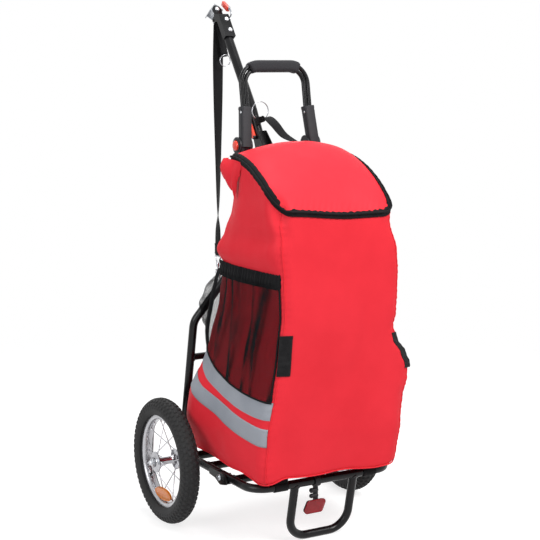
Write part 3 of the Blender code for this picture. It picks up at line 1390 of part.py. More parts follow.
def build_hanger():
    """The webbing and split ring that hang the bag's back on the tow bar's bracket."""
    bracket_top = tow_frame() @ Vector((0, 0, TOW_BRACKET_LENGTH))
    bar_front = tow_frame() @ Vector((0, -TOW_RADIUS, TOW_BRACKET_LENGTH + 0.030))
    ring_at = Vector((0.0035, bar_front.y - 0.0074, bar_front.z + 0.0185))
    circle = arc((0, HANGER_RING_RADIUS), SPLIT_RING_WIRE, 0, 360, 6)[:-1]
    turned("hanger_ring", circle, "chrome", 18, axis=Y_AXIS, place=Matrix.Translation(ring_at))
    y = ring_at.y - SPLIT_RING_WIRE - WEBBING_THICKNESS / 2 - SOFT_GAP
    z = bracket_top.z + 0.026
    back = bag_back_y(HANGER_SEAM_HEIGHT) + WEBBING_THICKNESS / 2 + SOFT_GAP
    points = [
        Vector((-0.010, y - 0.0010, z)),
        Vector((0.006, y - 0.0025, z + 0.005)),
        Vector((0.019, y - 0.012, z + 0.010)),
        Vector((0.028, y - 0.036, z - 0.001)),
        Vector((0.038, y - 0.066, z - 0.024)),
        Vector((HANGER_REACH - 0.010, bag_back_y(BAG_RIM_BACK + 0.018) + 0.012, BAG_RIM_BACK + 0.022)),
        Vector((HANGER_REACH - 0.002, bag_back_y(BAG_RIM_BACK - 0.002) + 0.008, BAG_RIM_BACK)),
        Vector((HANGER_REACH, back, HANGER_SEAM_HEIGHT)),
    ]
    turns = [0.0, 0.0, 0.0, 0.1, 0.1, 0.0, 0.0, 0.0]
    ribbon("bag_hanger", points, HANGER_WIDTH, WEBBING_THICKNESS, turns, "webbing")


def main():
    build_axle()
    for side_name, side in SIDES:
        build_wheel(side_name, side)
        build_side_tube(side_name, side)
        build_platform_pivot(side_name, side)
    build_frame_bars()
    build_platform()
    build_handle()
    build_tow_bracket()
    build_tow_bar()
    build_hitch()
    build_safety_strap()
    build_bag()
    build_hanger()


clear_scene()
main()
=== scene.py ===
import json
import math

import bmesh
import bpy
from mathutils import Matrix, Vector, noise

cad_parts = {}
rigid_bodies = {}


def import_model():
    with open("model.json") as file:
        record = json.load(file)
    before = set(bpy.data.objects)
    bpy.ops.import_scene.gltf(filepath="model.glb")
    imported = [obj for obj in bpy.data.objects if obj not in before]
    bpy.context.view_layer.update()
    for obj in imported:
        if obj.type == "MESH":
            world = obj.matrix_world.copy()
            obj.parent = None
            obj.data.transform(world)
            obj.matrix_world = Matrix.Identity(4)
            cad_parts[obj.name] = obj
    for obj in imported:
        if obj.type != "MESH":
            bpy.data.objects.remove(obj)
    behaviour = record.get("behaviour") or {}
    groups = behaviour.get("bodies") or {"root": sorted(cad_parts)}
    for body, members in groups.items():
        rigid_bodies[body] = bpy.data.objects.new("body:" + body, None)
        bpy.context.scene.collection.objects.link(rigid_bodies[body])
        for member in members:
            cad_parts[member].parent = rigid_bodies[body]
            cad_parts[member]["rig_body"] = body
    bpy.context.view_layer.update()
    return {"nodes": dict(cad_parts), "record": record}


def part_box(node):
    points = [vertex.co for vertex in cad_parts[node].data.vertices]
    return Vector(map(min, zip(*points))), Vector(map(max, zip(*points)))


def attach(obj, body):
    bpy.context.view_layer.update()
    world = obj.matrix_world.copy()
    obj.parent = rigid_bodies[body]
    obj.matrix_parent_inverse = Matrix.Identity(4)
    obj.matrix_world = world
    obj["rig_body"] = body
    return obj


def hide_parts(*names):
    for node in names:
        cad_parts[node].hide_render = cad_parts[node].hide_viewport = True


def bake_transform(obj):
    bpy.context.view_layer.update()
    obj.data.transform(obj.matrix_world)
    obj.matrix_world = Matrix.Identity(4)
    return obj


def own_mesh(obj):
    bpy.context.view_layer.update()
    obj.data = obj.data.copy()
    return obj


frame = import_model()
scene = bpy.context.scene
xAxis, yAxis, zAxis = Vector((1, 0, 0)), Vector((0, 1, 0)), Vector((0, 0, 1))
sides = (("left", -1), ("right", 1))
# places that the pieces share with the frame, in metres, and the frame's lean in degrees
layout = {
    "axleY": 0.0474, "wheelZ": 0.1475, "wheelX": 0.2515, "frameX": 0.183, "upperX": 0.0905, "deckZ": 0.144,
    "frameY": 0.0984, "frameLean": 11.4, "pivotY": -0.1146, "deckEndY": -0.1056, "platformY": -0.2506,
    "bagFront": -0.2906, "bagBottom": 0.168, "bagSplit": 0.305,
}


def feed(tree, socket, value):
    # gives a socket a value, or links an output to it
    if isinstance(value, bpy.types.NodeSocket):
        tree.links.new(value, socket)
    else:
        socket.default_value = value


def newNode(tree, kind, inputs, **settings):
    # the inputs are values or outputs, by socket name or number
    node = tree.nodes.new("ShaderNode" + kind)
    for setting, value in settings.items():
        setattr(node, setting, value)
    for socketName, value in inputs.items():
        feed(tree, node.inputs[socketName], value)
    return node


def mathNode(tree, operation, *values):
    return newNode(tree, "Math", dict(enumerate(values)), operation=operation).outputs[0]


def noiseNode(tree, vector, scale, detail, rough=0.5):
    inputs = {"Vector": vector, "Scale": scale, "Detail": detail, "Roughness": rough}
    return newNode(tree, "TexNoise", inputs).outputs["Fac"]


def mixColour(tree, share, first, second):
    # sockets 6 and 7 are the mix node's colours
    return newNode(tree, "Mix", {0: share, 6: first, 7: second}, data_type="RGBA").outputs[2]


def scaledParts(tree, vector, scale):
    # a vector's x, y and z, multiplied by a scale
    scaled = newNode(tree, "VectorMath", {0: vector, "Scale": scale}, operation="SCALE")
    return newNode(tree, "SeparateXYZ", {0: scaled.outputs[0]}).outputs


# camera, lamps and floor
camera = {"eye": (-1.6036, -2.7541, 1.0675), "aim": (0.0315, 0.0474, 0.5775), "lens": 91.05, "sensor": 36}
# name, position, aim, size, watts, colour
lamps = (
    ("keyLamp", (0.8, -2.2, 2.6), (0, -0.2, 0.7), 1.7, 92, (1.0, 0.99, 0.98)),
    ("fillLamp", (-3.4, -1.2, 1.9), (0, 0, 0.5), 2.2, 74, (0.97, 0.98, 1.0)),
    ("topLamp", (0.2, 0.3, 3.6), (0, 0, 0.6), 2.0, 52, (1.0, 1.0, 1.0)),
    ("backLamp", (1.2, 3.4, 2.2), (0, 0, 0.6), 2.0, 20, (1.0, 1.0, 1.0)),
)
studio = {
    "ambient": 0.28, "white": (1, 1, 1, 1), "floorRadius": 3.2, "fadeFrom": 0.75, "fadeTo": 2.2, "floorLift": 0.74,
    "floor": {"Base Color": (0.42, 0.42, 0.42, 1), "Roughness": 0.9, "Specular IOR Level": 0.1},
}


def aimed(obj, eye, aim):
    obj.location = eye
    obj.rotation_euler = (Vector(aim) - Vector(eye)).to_track_quat("-Z", "Y").to_euler()
    scene.collection.objects.link(obj)
    return obj


def seenDirectly(tree):
    # a mask for the rays that show the background: camera, glossy and transmission
    rays = tree.nodes.new("ShaderNodeLightPath").outputs
    direct = mathNode(tree, "MAXIMUM", rays["Is Camera Ray"], rays["Is Glossy Ray"])
    return mathNode(tree, "MAXIMUM", direct, rays["Is Transmission Ray"])


def makeStudio():
    lens = bpy.data.cameras.new("camera")
    lens.lens = camera["lens"]
    lens.sensor_width = camera["sensor"]
    scene.camera = aimed(bpy.data.objects.new("camera", lens), camera["eye"], camera["aim"])
    scene.view_settings.view_transform = "Standard"
    for name, eye, aim, size, watts, colour in lamps:
        lamp = bpy.data.lights.new(name, "AREA")
        lamp.shape = "DISK"
        lamp.size = size
        lamp.energy = watts
        lamp.color = colour
        aimed(bpy.data.objects.new(name, lamp), eye, aim)
    world = bpy.data.worlds.new("studio")
    scene.world = world
    world.use_nodes = True
    tree = world.node_tree
    ambient = tree.nodes["Background"]
    feed(tree, ambient.inputs["Color"], studio["white"])
    feed(tree, ambient.inputs["Strength"], studio["ambient"])
    backdrop = newNode(tree, "Background", {"Color": studio["white"], "Strength": 1.0})
    mix = newNode(tree, "MixShader", {0: seenDirectly(tree), 1: ambient.outputs[0], 2: backdrop.outputs[0]})
    feed(tree, tree.nodes["World Output"].inputs["Surface"], mix.outputs[0])


def makeFloor():
    # a pale disc that fades out into the white backdrop
    bm = bmesh.new()
    bmesh.ops.create_circle(bm, cap_ends=True, segments=96, radius=studio["floorRadius"])
    mesh = bpy.data.meshes.new("floor")
    bm.to_mesh(mesh)
    bm.free()
    floor = bpy.data.objects.new("floor", mesh)
    scene.collection.objects.link(floor)
    material = bpy.data.materials.new("paleFloor")
    material.use_nodes = True
    tree = material.node_tree
    shader = tree.nodes["Principled BSDF"]
    for socketName, value in studio["floor"].items():
        feed(tree, shader.inputs[socketName], value)
    lift = mathNode(tree, "MULTIPLY", seenDirectly(tree), studio["floorLift"])
    glow = newNode(tree, "Emission", {"Strength": lift})
    both = newNode(tree, "AddShader", {0: shader.outputs[0], 1: glow.outputs[0]})
    where = tree.nodes.new("ShaderNodeTexCoord").outputs["Object"]
    length = newNode(tree, "VectorMath", {0: where}, operation="LENGTH").outputs["Value"]
    ends = {"Value": length, "From Min": studio["fadeFrom"], "From Max": studio["fadeTo"]}
    fade = newNode(tree, "MapRange", ends, interpolation_type="SMOOTHSTEP").outputs["Result"]
    clear = tree.nodes.new("ShaderNodeBsdfTransparent")
    mix = newNode(tree, "MixShader", {0: fade, 1: both.outputs[0], 2: clear.outputs[0]})
    feed(tree, tree.nodes["Material Output"].inputs["Surface"], mix.outputs[0])
    mesh.materials.append(material)


makeStudio()
makeFloor()
print("studio: camera, four lamps and a pale floor")

# patterns that several finishes share, as node groups
patterns = {"fineness": 4.3, "gapWidth": 0.12}
netting = {
    # the threads' slope; the folds' stretch, turn and how much they close the net
    "slope": 0.6, "foldScale": (14, 1.7, 1), "foldTurn": (0, 0, 0.20), "foldCover": 0.34,
    # the folds come in patches: size, contrast and share
    "patchScale": 7.0, "patchContrast": 5.0, "patchShift": -1.7,
}


def newGroup(name, inputs, outputs):
    # inputs are names with values, besides the Vector of every group; outputs are names with kinds
    tree = bpy.data.node_groups.new(name, "ShaderNodeTree")
    tree.interface.new_socket("Vector", in_out="INPUT", socket_type="NodeSocketVector")
    for socketName, value in inputs.items():
        kind = "Color" if isinstance(value, tuple) else "Float"
        socket = tree.interface.new_socket(socketName, in_out="INPUT", socket_type="NodeSocket" + kind)
        socket.default_value = value
    for socketName, kind in outputs.items():
        tree.interface.new_socket(socketName, in_out="OUTPUT", socket_type="NodeSocket" + kind)
    return tree, tree.nodes.new("NodeGroupInput").outputs, tree.nodes.new("NodeGroupOutput").inputs


def makeMottle():
    # a colour that drifts to a second one in broad patches, and the mask of the patches
    inputs = {"Colour": (0.5, 0.5, 0.5, 1), "Second Colour": (0.4, 0.4, 0.4, 1), "Scale": 6.0, "Low": 0.4, "High": 0.7}
    tree, enter, leave = newGroup("mottle", inputs, {"Colour": "Color", "Mask": "Float"})
    broad = noiseNode(tree, enter["Vector"], enter["Scale"], 4.0, 0.6)
    spread = newNode(tree, "MapRange", {"Value": broad, "From Min": enter["Low"], "From Max": enter["High"]})
    mask = spread.outputs["Result"]
    feed(tree, leave["Colour"], mixColour(tree, mask, enter["Colour"], enter["Second Colour"]))
    feed(tree, leave["Mask"], mask)
    return tree


def makeGrain():
    # a height made of a coarse and a fine noise
    tree, enter, leave = newGroup("grain", {"Scale": 300.0, "Fine Share": 0.5}, {"Height": "Float"})
    coarse = noiseNode(tree, enter["Vector"], enter["Scale"], 3.0)
    fineScale = mathNode(tree, "MULTIPLY", enter["Scale"], patterns["fineness"])
    fine = noiseNode(tree, enter["Vector"], fineScale, 1.0)
    feed(tree, leave["Height"], mathNode(tree, "MULTIPLY_ADD", fine, enter["Fine Share"], coarse))
    return tree


def makeWeave():
    # plain weave: crossed threads that pass over and under each other, on a UV map in metres
    tree, enter, leave = newGroup("weave", {"Threads": 900.0}, {"Height": "Float", "Gap": "Float"})
    parts = scaledParts(tree, enter["Vector"], enter["Threads"])
    across, along = (mathNode(tree, "SINE", mathNode(tree, "MULTIPLY", part, math.pi)) for part in parts[:2])
    over = mathNode(tree, "MULTIPLY", across, along)
    feed(tree, leave["Height"], mathNode(tree, "MULTIPLY_ADD", over, 0.5, 0.5))
    gap = mathNode(tree, "LESS_THAN", mathNode(tree, "ABSOLUTE", over), patterns["gapWidth"])
    feed(tree, leave["Gap"], gap)
    return tree


def makeNetting():
    # knitted net: two slanted families of threads with open diamonds, closed up along its folds
    inputs = {"Cells": 500.0, "Thread": 0.42, "Fold Width": 0.05}
    tree, enter, leave = newGroup("netting", inputs, {"Cover": "Float", "Height": "Float"})
    x, y = scaledParts(tree, enter["Vector"], enter["Cells"])[:2]
    y = mathNode(tree, "MULTIPLY", y, netting["slope"])
    threads = []
    for operation in ("ADD", "SUBTRACT"):
        share = mathNode(tree, "FRACT", mathNode(tree, operation, x, y))
        threads.append(mathNode(tree, "ABSOLUTE", mathNode(tree, "SUBTRACT", share, 0.5)))
    nearest = mathNode(tree, "MINIMUM", *threads)
    half = mathNode(tree, "MULTIPLY", enter["Thread"], 0.5)
    inputs = {"Vector": enter["Vector"], "Scale": netting["foldScale"], "Rotation": netting["foldTurn"]}
    soft = noiseNode(tree, newNode(tree, "Mapping", inputs).outputs[0], 1.0, 0.0)
    ridge = mathNode(tree, "ABSOLUTE", mathNode(tree, "SUBTRACT", soft, 0.5))
    inputs = {"Value": ridge, "From Max": enter["Fold Width"], "To Min": netting["foldCover"], "To Max": 0.0}
    closer = newNode(tree, "MapRange", inputs, interpolation_type="SMOOTHSTEP").outputs["Result"]
    patch = noiseNode(tree, enter["Vector"], netting["patchScale"], 1.0)
    patch = mathNode(tree, "MULTIPLY_ADD", patch, netting["patchContrast"], netting["patchShift"])
    patch = mathNode(tree, "MINIMUM", mathNode(tree, "MAXIMUM", patch, 0.0), 1.0)
    half = mathNode(tree, "MULTIPLY_ADD", closer, patch, half)
    feed(tree, leave["Cover"], mathNode(tree, "LESS_THAN", nearest, half))
    feed(tree, leave["Height"], mathNode(tree, "SUBTRACT", 0.5, nearest))
    return tree


def makeRings():
    # fine concentric lines round the wheels' axle, as a lathe or a mould leaves them
    tree, enter, leave = newGroup("axleRings", {"Rings": 900.0}, {"Height": "Float"})
    centre = (0, -layout["axleY"], -layout["wheelZ"])
    centred = newNode(tree, "Mapping", {"Vector": enter["Vector"], "Location": centre, "Scale": (0, 1, 1)})
    radius = newNode(tree, "VectorMath", {0: centred.outputs[0]}, operation="LENGTH").outputs["Value"]
    feed(tree, leave["Height"], mathNode(tree, "SINE", mathNode(tree, "MULTIPLY", radius, enter["Rings"])))
    return tree


def makePrisms():
    # the moulded corner prisms inside a reflector, as rows of small pyramids
    tree, enter, leave = newGroup("prisms", {"Rows": 420.0}, {"Height": "Float"})
    inputs = {"Vector": enter["Vector"], "Scale": enter["Rows"], "Randomness": 0.0}
    cells = newNode(tree, "TexVoronoi", inputs, distance="CHEBYCHEV")
    feed(tree, leave["Height"], cells.outputs["Distance"])
    return tree


groups = {
    "mottle": makeMottle(),
    "grain": makeGrain(),
    "weave": makeWeave(),
    "netting": makeNetting(),
    "axleRings": makeRings(),
    "prisms": makePrisms(),
}


def placeGroup(tree, name, vector, values):
    return newNode(tree, "Group", {"Vector": vector, **values}, node_tree=groups[name])


def newMaterial(name, finish):
    # finish: colour, second colour and scale of the mottle, rough as a range, bumps as
    # (pattern, values, strength, depth in metres), and the shader's own values under sockets
    material = bpy.data.materials.new(name)
    material.use_nodes = True
    tree = material.node_tree
    shader = tree.nodes["Principled BSDF"].inputs
    where = tree.nodes.new("ShaderNodeTexCoord").outputs
    values = {"Colour": (*finish["colour"], 1), "Second Colour": (*finish["second"], 1), "Scale": finish["scale"]}
    mottle = placeGroup(tree, "mottle", where["Object"], values).outputs
    colour, normal = mottle["Colour"], None
    low, high = finish["rough"]
    rough = newNode(tree, "MapRange", {"Value": mottle["Mask"], "To Min": low, "To Max": high})
    feed(tree, shader["Roughness"], rough.outputs["Result"])
    for pattern, values, strength, depth in finish["bumps"]:
        # cloth follows its UV map, and everything else the object's own space
        vector = where["UV" if pattern in ("weave", "netting") else "Object"]
        shape = placeGroup(tree, pattern, vector, values).outputs
        bump = newNode(tree, "Bump", {"Strength": strength, "Distance": depth, "Height": shape["Height"]})
        if normal:
            feed(tree, bump.inputs["Normal"], normal)
        normal = bump.outputs["Normal"]
        if pattern == "weave":
            dark = mathNode(tree, "MULTIPLY", shape["Gap"], finish["gapShade"])
            colour = mixColour(tree, dark, colour, (0.0, 0.0, 0.0, 1))
        if pattern == "netting":
            feed(tree, shader["Alpha"], shape["Cover"])
    feed(tree, shader["Base Color"], colour)
    feed(tree, shader["Normal"], normal)
    for socketName, value in finish["sockets"].items():
        feed(tree, shader[socketName], value)
    return material


finishes = {
    "redFabric": {
        "colour": (0.80, 0.034, 0.050), "second": (0.74, 0.028, 0.042), "scale": 5.0,
        "rough": (0.46, 0.58), "gapShade": 0.06,
        "bumps": (("weave", {"Threads": 1100.0}, 0.25, 0.0002), ("grain", {"Scale": 140.0}, 0.12, 0.0006)),
        "sockets": {"Sheen Weight": 0.02, "Sheen Roughness": 0.4, "Specular IOR Level": 0.06},
    },
    "lining": {
        "colour": (0.55, 0.55, 0.56), "second": (0.48, 0.48, 0.50), "scale": 8.0,
        "rough": (0.55, 0.7), "gapShade": 0.15,
        "bumps": (("weave", {"Threads": 900.0}, 0.3, 0.0002),),
        "sockets": {},
    },
    "blackNet": {
        "colour": (0.006, 0.006, 0.007), "second": (0.014, 0.014, 0.015), "scale": 20.0,
        "rough": (0.75, 0.9),
        "bumps": (("netting", {"Cells": 420.0, "Thread": 0.34, "Fold Width": 0.07}, 0.4, 0.0003),),
        "sockets": {"Specular IOR Level": 0.04},
    },
    "blackElastic": {
        "colour": (0.006, 0.006, 0.007), "second": (0.013, 0.013, 0.014), "scale": 30.0,
        "rough": (0.75, 0.9), "gapShade": 0.4,
        "bumps": (("weave", {"Threads": 700.0}, 0.6, 0.0004),),
        "sockets": {"Sheen Weight": 0.02, "Specular IOR Level": 0.10},
    },
    "webbing": {
        "colour": (0.006, 0.006, 0.007), "second": (0.012, 0.012, 0.013), "scale": 25.0,
        "rough": (0.6, 0.75), "gapShade": 0.4,
        "bumps": (("weave", {"Threads": 620.0}, 0.8, 0.0005),),
        "sockets": {"Sheen Weight": 0.02, "Specular IOR Level": 0.12},
    },
    "hookTape": {
        "colour": (0.010, 0.010, 0.011), "second": (0.020, 0.020, 0.021), "scale": 60.0,
        "rough": (0.85, 0.95),
        "bumps": (("grain", {"Scale": 900.0, "Fine Share": 1.0}, 1.0, 0.0008),),
        "sockets": {"Sheen Weight": 0.08, "Specular IOR Level": 0.1},
    },
    "reflectiveTape": {
        "colour": (0.33, 0.35, 0.39), "second": (0.28, 0.30, 0.34), "scale": 9.0,
        "rough": (0.48, 0.60), "gapShade": 0.25,
        "bumps": (("weave", {"Threads": 1500.0}, 0.25, 0.0001),),
        "sockets": {"Specular IOR Level": 0.3},
    },
    "framePaint": {
        "colour": (0.003, 0.003, 0.0035), "second": (0.006, 0.006, 0.007), "scale": 14.0,
        "rough": (0.22, 0.34),
        "bumps": (("grain", {"Scale": 420.0, "Fine Share": 0.3}, 0.10, 0.0004),),
        "sockets": {"Specular IOR Level": 0.24},
    },
    "plastic": {
        "colour": (0.015, 0.015, 0.018), "second": (0.023, 0.023, 0.027), "scale": 18.0,
        "rough": (0.38, 0.52),
        "bumps": (("grain", {"Scale": 900.0, "Fine Share": 0.6}, 0.25, 0.0003),),
        "sockets": {"Specular IOR Level": 0.24},
    },
    "foam": {
        "colour": (0.016, 0.016, 0.019), "second": (0.024, 0.024, 0.028), "scale": 22.0,
        "rough": (0.62, 0.80),
        "bumps": (("grain", {"Scale": 1100.0, "Fine Share": 1.0}, 0.5, 0.0004),),
        "sockets": {"Sheen Weight": 0.08, "Specular IOR Level": 0.2},
    },
    "rubber": {
        "colour": (0.012, 0.012, 0.013), "second": (0.020, 0.0195, 0.019), "scale": 12.0,
        "rough": (0.60, 0.80),
        "bumps": (
            ("axleRings", {"Rings": 2600.0}, 0.10, 0.0004),
            ("grain", {"Scale": 500.0, "Fine Share": 0.6}, 0.25, 0.0004),
        ),
        "sockets": {"Specular IOR Level": 0.28},
    },
    "alloy": {
        "colour": (0.46, 0.46, 0.48), "second": (0.36, 0.36, 0.38), "scale": 30.0,
        "rough": (0.24, 0.36),
        "bumps": (("axleRings", {"Rings": 5200.0}, 0.12, 0.0002),),
        "sockets": {"Metallic": 1.0},
    },
    "chrome": {
        "colour": (0.44, 0.44, 0.46), "second": (0.34, 0.34, 0.36), "scale": 25.0,
        "rough": (0.08, 0.18),
        "bumps": (("grain", {"Scale": 220.0, "Fine Share": 0.2}, 0.05, 0.0003),),
        "sockets": {"Metallic": 1.0},
    },
    "zinc": {
        "colour": (0.55, 0.56, 0.58), "second": (0.44, 0.45, 0.47), "scale": 60.0,
        "rough": (0.28, 0.42),
        "bumps": (("grain", {"Scale": 700.0, "Fine Share": 0.5}, 0.2, 0.0003),),
        "sockets": {"Metallic": 1.0},
    },
    "steel": {
        "colour": (0.34, 0.35, 0.37), "second": (0.25, 0.26, 0.28), "scale": 45.0,
        "rough": (0.24, 0.38),
        "bumps": (("grain", {"Scale": 500.0, "Fine Share": 0.5}, 0.15, 0.0003),),
        "sockets": {"Metallic": 1.0},
    },
    "buttonRed": {
        "colour": (0.78, 0.045, 0.015), "second": (0.70, 0.035, 0.012), "scale": 40.0,
        "rough": (0.28, 0.40),
        "bumps": (("grain", {"Scale": 600.0, "Fine Share": 0.4}, 0.12, 0.0003),),
        "sockets": {"Coat Weight": 0.3},
    },
    "amberLens": {
        "colour": (0.80, 0.19, 0.004), "second": (0.74, 0.24, 0.012), "scale": 60.0,
        "rough": (0.16, 0.26),
        "bumps": (("prisms", {"Rows": 380.0}, 0.5, 0.0006),),
        "sockets": {"Coat Weight": 0.25, "Coat Roughness": 0.06, "Specular IOR Level": 0.25},
    },
    "redLens": {
        "colour": (0.26, 0.004, 0.010), "second": (0.19, 0.003, 0.007), "scale": 60.0,
        "rough": (0.14, 0.24),
        "bumps": (("prisms", {"Rows": 380.0}, 0.5, 0.0006),),
        "sockets": {"Coat Weight": 0.25, "Coat Roughness": 0.06, "Specular IOR Level": 0.25},
    },
}
materials = {name: newMaterial(name, finish) for name, finish in finishes.items()}
print("finishes:", len(materials))

# ways to make a shape


def keepPiece(name, bm, body, finish, replaces=(), sharp=38, flat=False):
    # flat keeps big plane faces plane: only the narrow faces of a bevel turn the light
    mesh = bpy.data.meshes.new(name)
    bm.to_mesh(mesh)
    bm.free()
    mesh.shade_smooth()
    mesh.set_sharp_from_angle(angle=math.radians(sharp))
    if flat:
        weighNormals(mesh, math.cos(math.radians(sharp)))
    mesh.materials.append(materials[finish])
    piece = bpy.data.objects.new(name, mesh)
    scene.collection.objects.link(piece)
    if body:
        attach(piece, body)
    if replaces:
        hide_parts(*replaces)
    return piece


def weighNormals(mesh, least):
    around = [[] for _ in mesh.vertices]
    for face in mesh.polygons:
        for index in face.vertices:
            around[index].append(face)
    normals = []
    for face in mesh.polygons:
        for index in face.vertices:
            near = (other for other in around[index] if other.normal.dot(face.normal) > least)
            normals.append(sum((other.normal * other.area for other in near), Vector()).normalized())
    mesh.normals_split_custom_set(normals)


def join(bm, shape, *places):
    # adds a finished shape to a piece, once or at several places
    mesh = bpy.data.meshes.new("shape")
    shape.to_mesh(mesh)
    shape.free()
    for place in places or (Matrix(),):
        copy = mesh.copy()
        copy.transform(place)
        if place.determinant() < 0:
            copy.flip_normals()
        bm.from_mesh(copy)
        bpy.data.meshes.remove(copy)
    bpy.data.meshes.remove(mesh)
    return bm


def shift(x, y, z):
    return Matrix.Translation((x, y, z))


def turn(degrees, axis):
    return Matrix.Rotation(math.radians(degrees), 4, axis)


def facing(axis):
    # turns a shape made along +X so that it lies along the axis
    return axis.to_track_quat("X", "Z").to_matrix().to_4x4()


# stands a plate across X: its own X runs along Y, and its Y upwards
sideways = Matrix(((0, 0, 1, 0), (1, 0, 0, 0), (0, 1, 0, 0), (0, 0, 0, 1)))


def facingOut(side):
    # a piece made for the right side turns round for the left one
    return turn(180, "Z") if side < 0 else Matrix()


def bodyOf(node):
    return frame["nodes"][node]["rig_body"]


def moved(bm, place):
    bmesh.ops.transform(bm, matrix=place, verts=bm.verts)
    return bm


def clamped(value):
    return min(1.0, max(0.0, value))


def eased(value):
    t = clamped(value)
    return t * t * (3 - 2 * t)


def hill(value, centre, width):
    return math.exp(-(((value - centre) / width) ** 2))


def fromTable(rows, value, between=eased):
    # reads a table by its first column, eased between the rows
    if value <= rows[0][0]:
        return rows[0][1:]
    for low, high in zip(rows, rows[1:]):
        if value <= high[0]:
            share = between((value - low[0]) / (high[0] - low[0]))
            return [a + (b - a) * share for a, b in zip(low[1:], high[1:])]
    return rows[-1][1:]


def cleaned(bm):
    bmesh.ops.remove_doubles(bm, verts=bm.verts, dist=1e-6)
    bmesh.ops.recalc_face_normals(bm, faces=bm.faces)
    return bm


def turnedOut(bm, outward):
    # makes the normals agree, and reverses them where outward, a measure of a face, says that they point in
    bmesh.ops.recalc_face_normals(bm, faces=bm.faces)
    if sum(outward(face) for face in bm.faces) < 0:
        bmesh.ops.reverse_faces(bm, faces=bm.faces)
    return bm


def walled(bm, thickness):
    # gives an open cloth its thickness on the inner side
    bmesh.ops.solidify(bm, geom=bm.faces[:], thickness=thickness)
    return bm


def soften(bm, width, angle=28, segments=2):
    edges = [e for e in bm.edges if e.is_manifold and e.calc_face_angle(0) > math.radians(angle)]
    bmesh.ops.bevel(
        bm, geom=edges, offset=width, offset_type="OFFSET", affect="EDGES", segments=segments,
        profile=0.5, material=-1, clamp_overlap=True,
    )
    return bm


def plate(outline, thickness, bevel=0.0):
    # a flat outline in X and Y, centred on its thickness along Z
    bm = bmesh.new()
    face = bm.faces.new([bm.verts.new((x, y, -thickness / 2)) for x, y in outline])
    made = bmesh.ops.extrude_face_region(bm, geom=[face])["geom"]
    lifted = [part for part in made if isinstance(part, bmesh.types.BMVert)]
    bmesh.ops.translate(bm, verts=lifted, vec=(0, 0, thickness))
    cleaned(bm)
    return soften(bm, bevel) if bevel else bm


def block(size, bevel=0.0):
    bm = bmesh.new()
    bmesh.ops.create_cube(bm, size=1.0)
    bmesh.ops.scale(bm, verts=bm.verts, vec=size)
    return soften(bm, bevel) if bevel else bm


def ball(radius, scale=(1, 1, 1)):
    bm = bmesh.new()
    bmesh.ops.create_uvsphere(bm, u_segments=24, v_segments=12, radius=radius)
    bmesh.ops.scale(bm, verts=bm.verts, vec=scale)
    return bm


def turned(profile, steps, closed=True):
    # spins a profile of (x, radius) about the X axis
    bm = bmesh.new()
    verts = [bm.verts.new((x, 0, radius)) for x, radius in profile]
    ends = verts[1:] + verts[:1] if closed else verts[1:]
    edges = [bm.edges.new(pair) for pair in zip(verts, ends)]
    bmesh.ops.spin(
        bm, geom=verts + edges, cent=(0, 0, 0), axis=(1, 0, 0), angle=math.tau, steps=steps, use_merge=True
    )
    return cleaned(bm)


def domed(radius, height, steps):
    # a fastener's low domed head, standing on x = 0
    arc = [(height * math.sin(a), radius * math.cos(a) ** 0.7) for a in (0.2, 0.5, 0.8, 1.1, 1.35)]
    return turned([(0, 0), (0, radius * 0.97), (height * 0.12, radius), *arc, (height, 0)], steps, closed=False)


def hexNut(across, height):
    # a chamfered nut standing on x = 0
    bm = bmesh.new()
    bmesh.ops.create_cone(
        bm, cap_ends=True, segments=6, radius1=across / math.sqrt(3), radius2=across / math.sqrt(3), depth=height
    )
    soften(bm, height * 0.10)
    return moved(bm, shift(height / 2, 0, 0) @ turn(90, "Y"))


def stations(points, side=None, turns=None):
    # at each point of a path: the point, a vector across it and one square to both
    found, last = [], side
    for index, point in enumerate(points):
        along = (points[min(index + 1, len(points) - 1)] - points[max(index - 1, 0)]).normalized()
        start = side or last or along.orthogonal()
        across = (start - along * start.dot(along)).normalized()
        last = across
        if turns:
            across = Matrix.Rotation(turns[index], 3, along) @ across
        found.append((point, across, along.cross(across)))
    return found


def surface(across, along, place, size=(1.0, 1.0)):
    # a grid whose points go to place(u, v), with its UV map in metres
    bm = bmesh.new()
    verts = bmesh.ops.create_grid(bm, x_segments=across, y_segments=along, size=0.5)["verts"]
    layer = bm.loops.layers.uv.verify()
    for vert in verts:
        u, v = vert.co.x + 0.5, vert.co.y + 0.5
        for loop in vert.link_loops:
            loop[layer].uv = (u * size[0], v * size[1])
        vert.co = place(u, v)
    return bm


def pathLength(points):
    return sum((b - a).length for a, b in zip(points, points[1:]))


def swept(points, outline, side=None, turns=None, scaleAt=None):
    # carries a closed outline of (across, flat) offsets along a path
    along = stations(points, side, turns)
    count, runs = len(outline), len(points) - 1
    loop = list(outline) + [outline[0]]

    def place(u, v):
        row = round(v * runs)
        point, across, flat = along[row]
        first, second = loop[round(u * count)]
        scale = scaleAt(row / runs) if scaleAt else 1.0
        return point + (across * first + flat * second) * scale

    size = (sum(math.dist(a, b) for a, b in zip(loop, loop[1:])), pathLength(points))
    bm = surface(count, runs, place, size)
    bmesh.ops.remove_doubles(bm, verts=bm.verts, dist=1e-6)
    bmesh.ops.holes_fill(bm, edges=[e for e in bm.edges if e.is_boundary], sides=0)
    bmesh.ops.recalc_face_normals(bm, faces=bm.faces)
    return bm


def circle(radius, count):
    return [(radius * math.cos(math.tau * i / count), radius * math.sin(math.tau * i / count)) for i in range(count)]


def tube(points, radius, count):
    return swept(points, circle(radius, count))


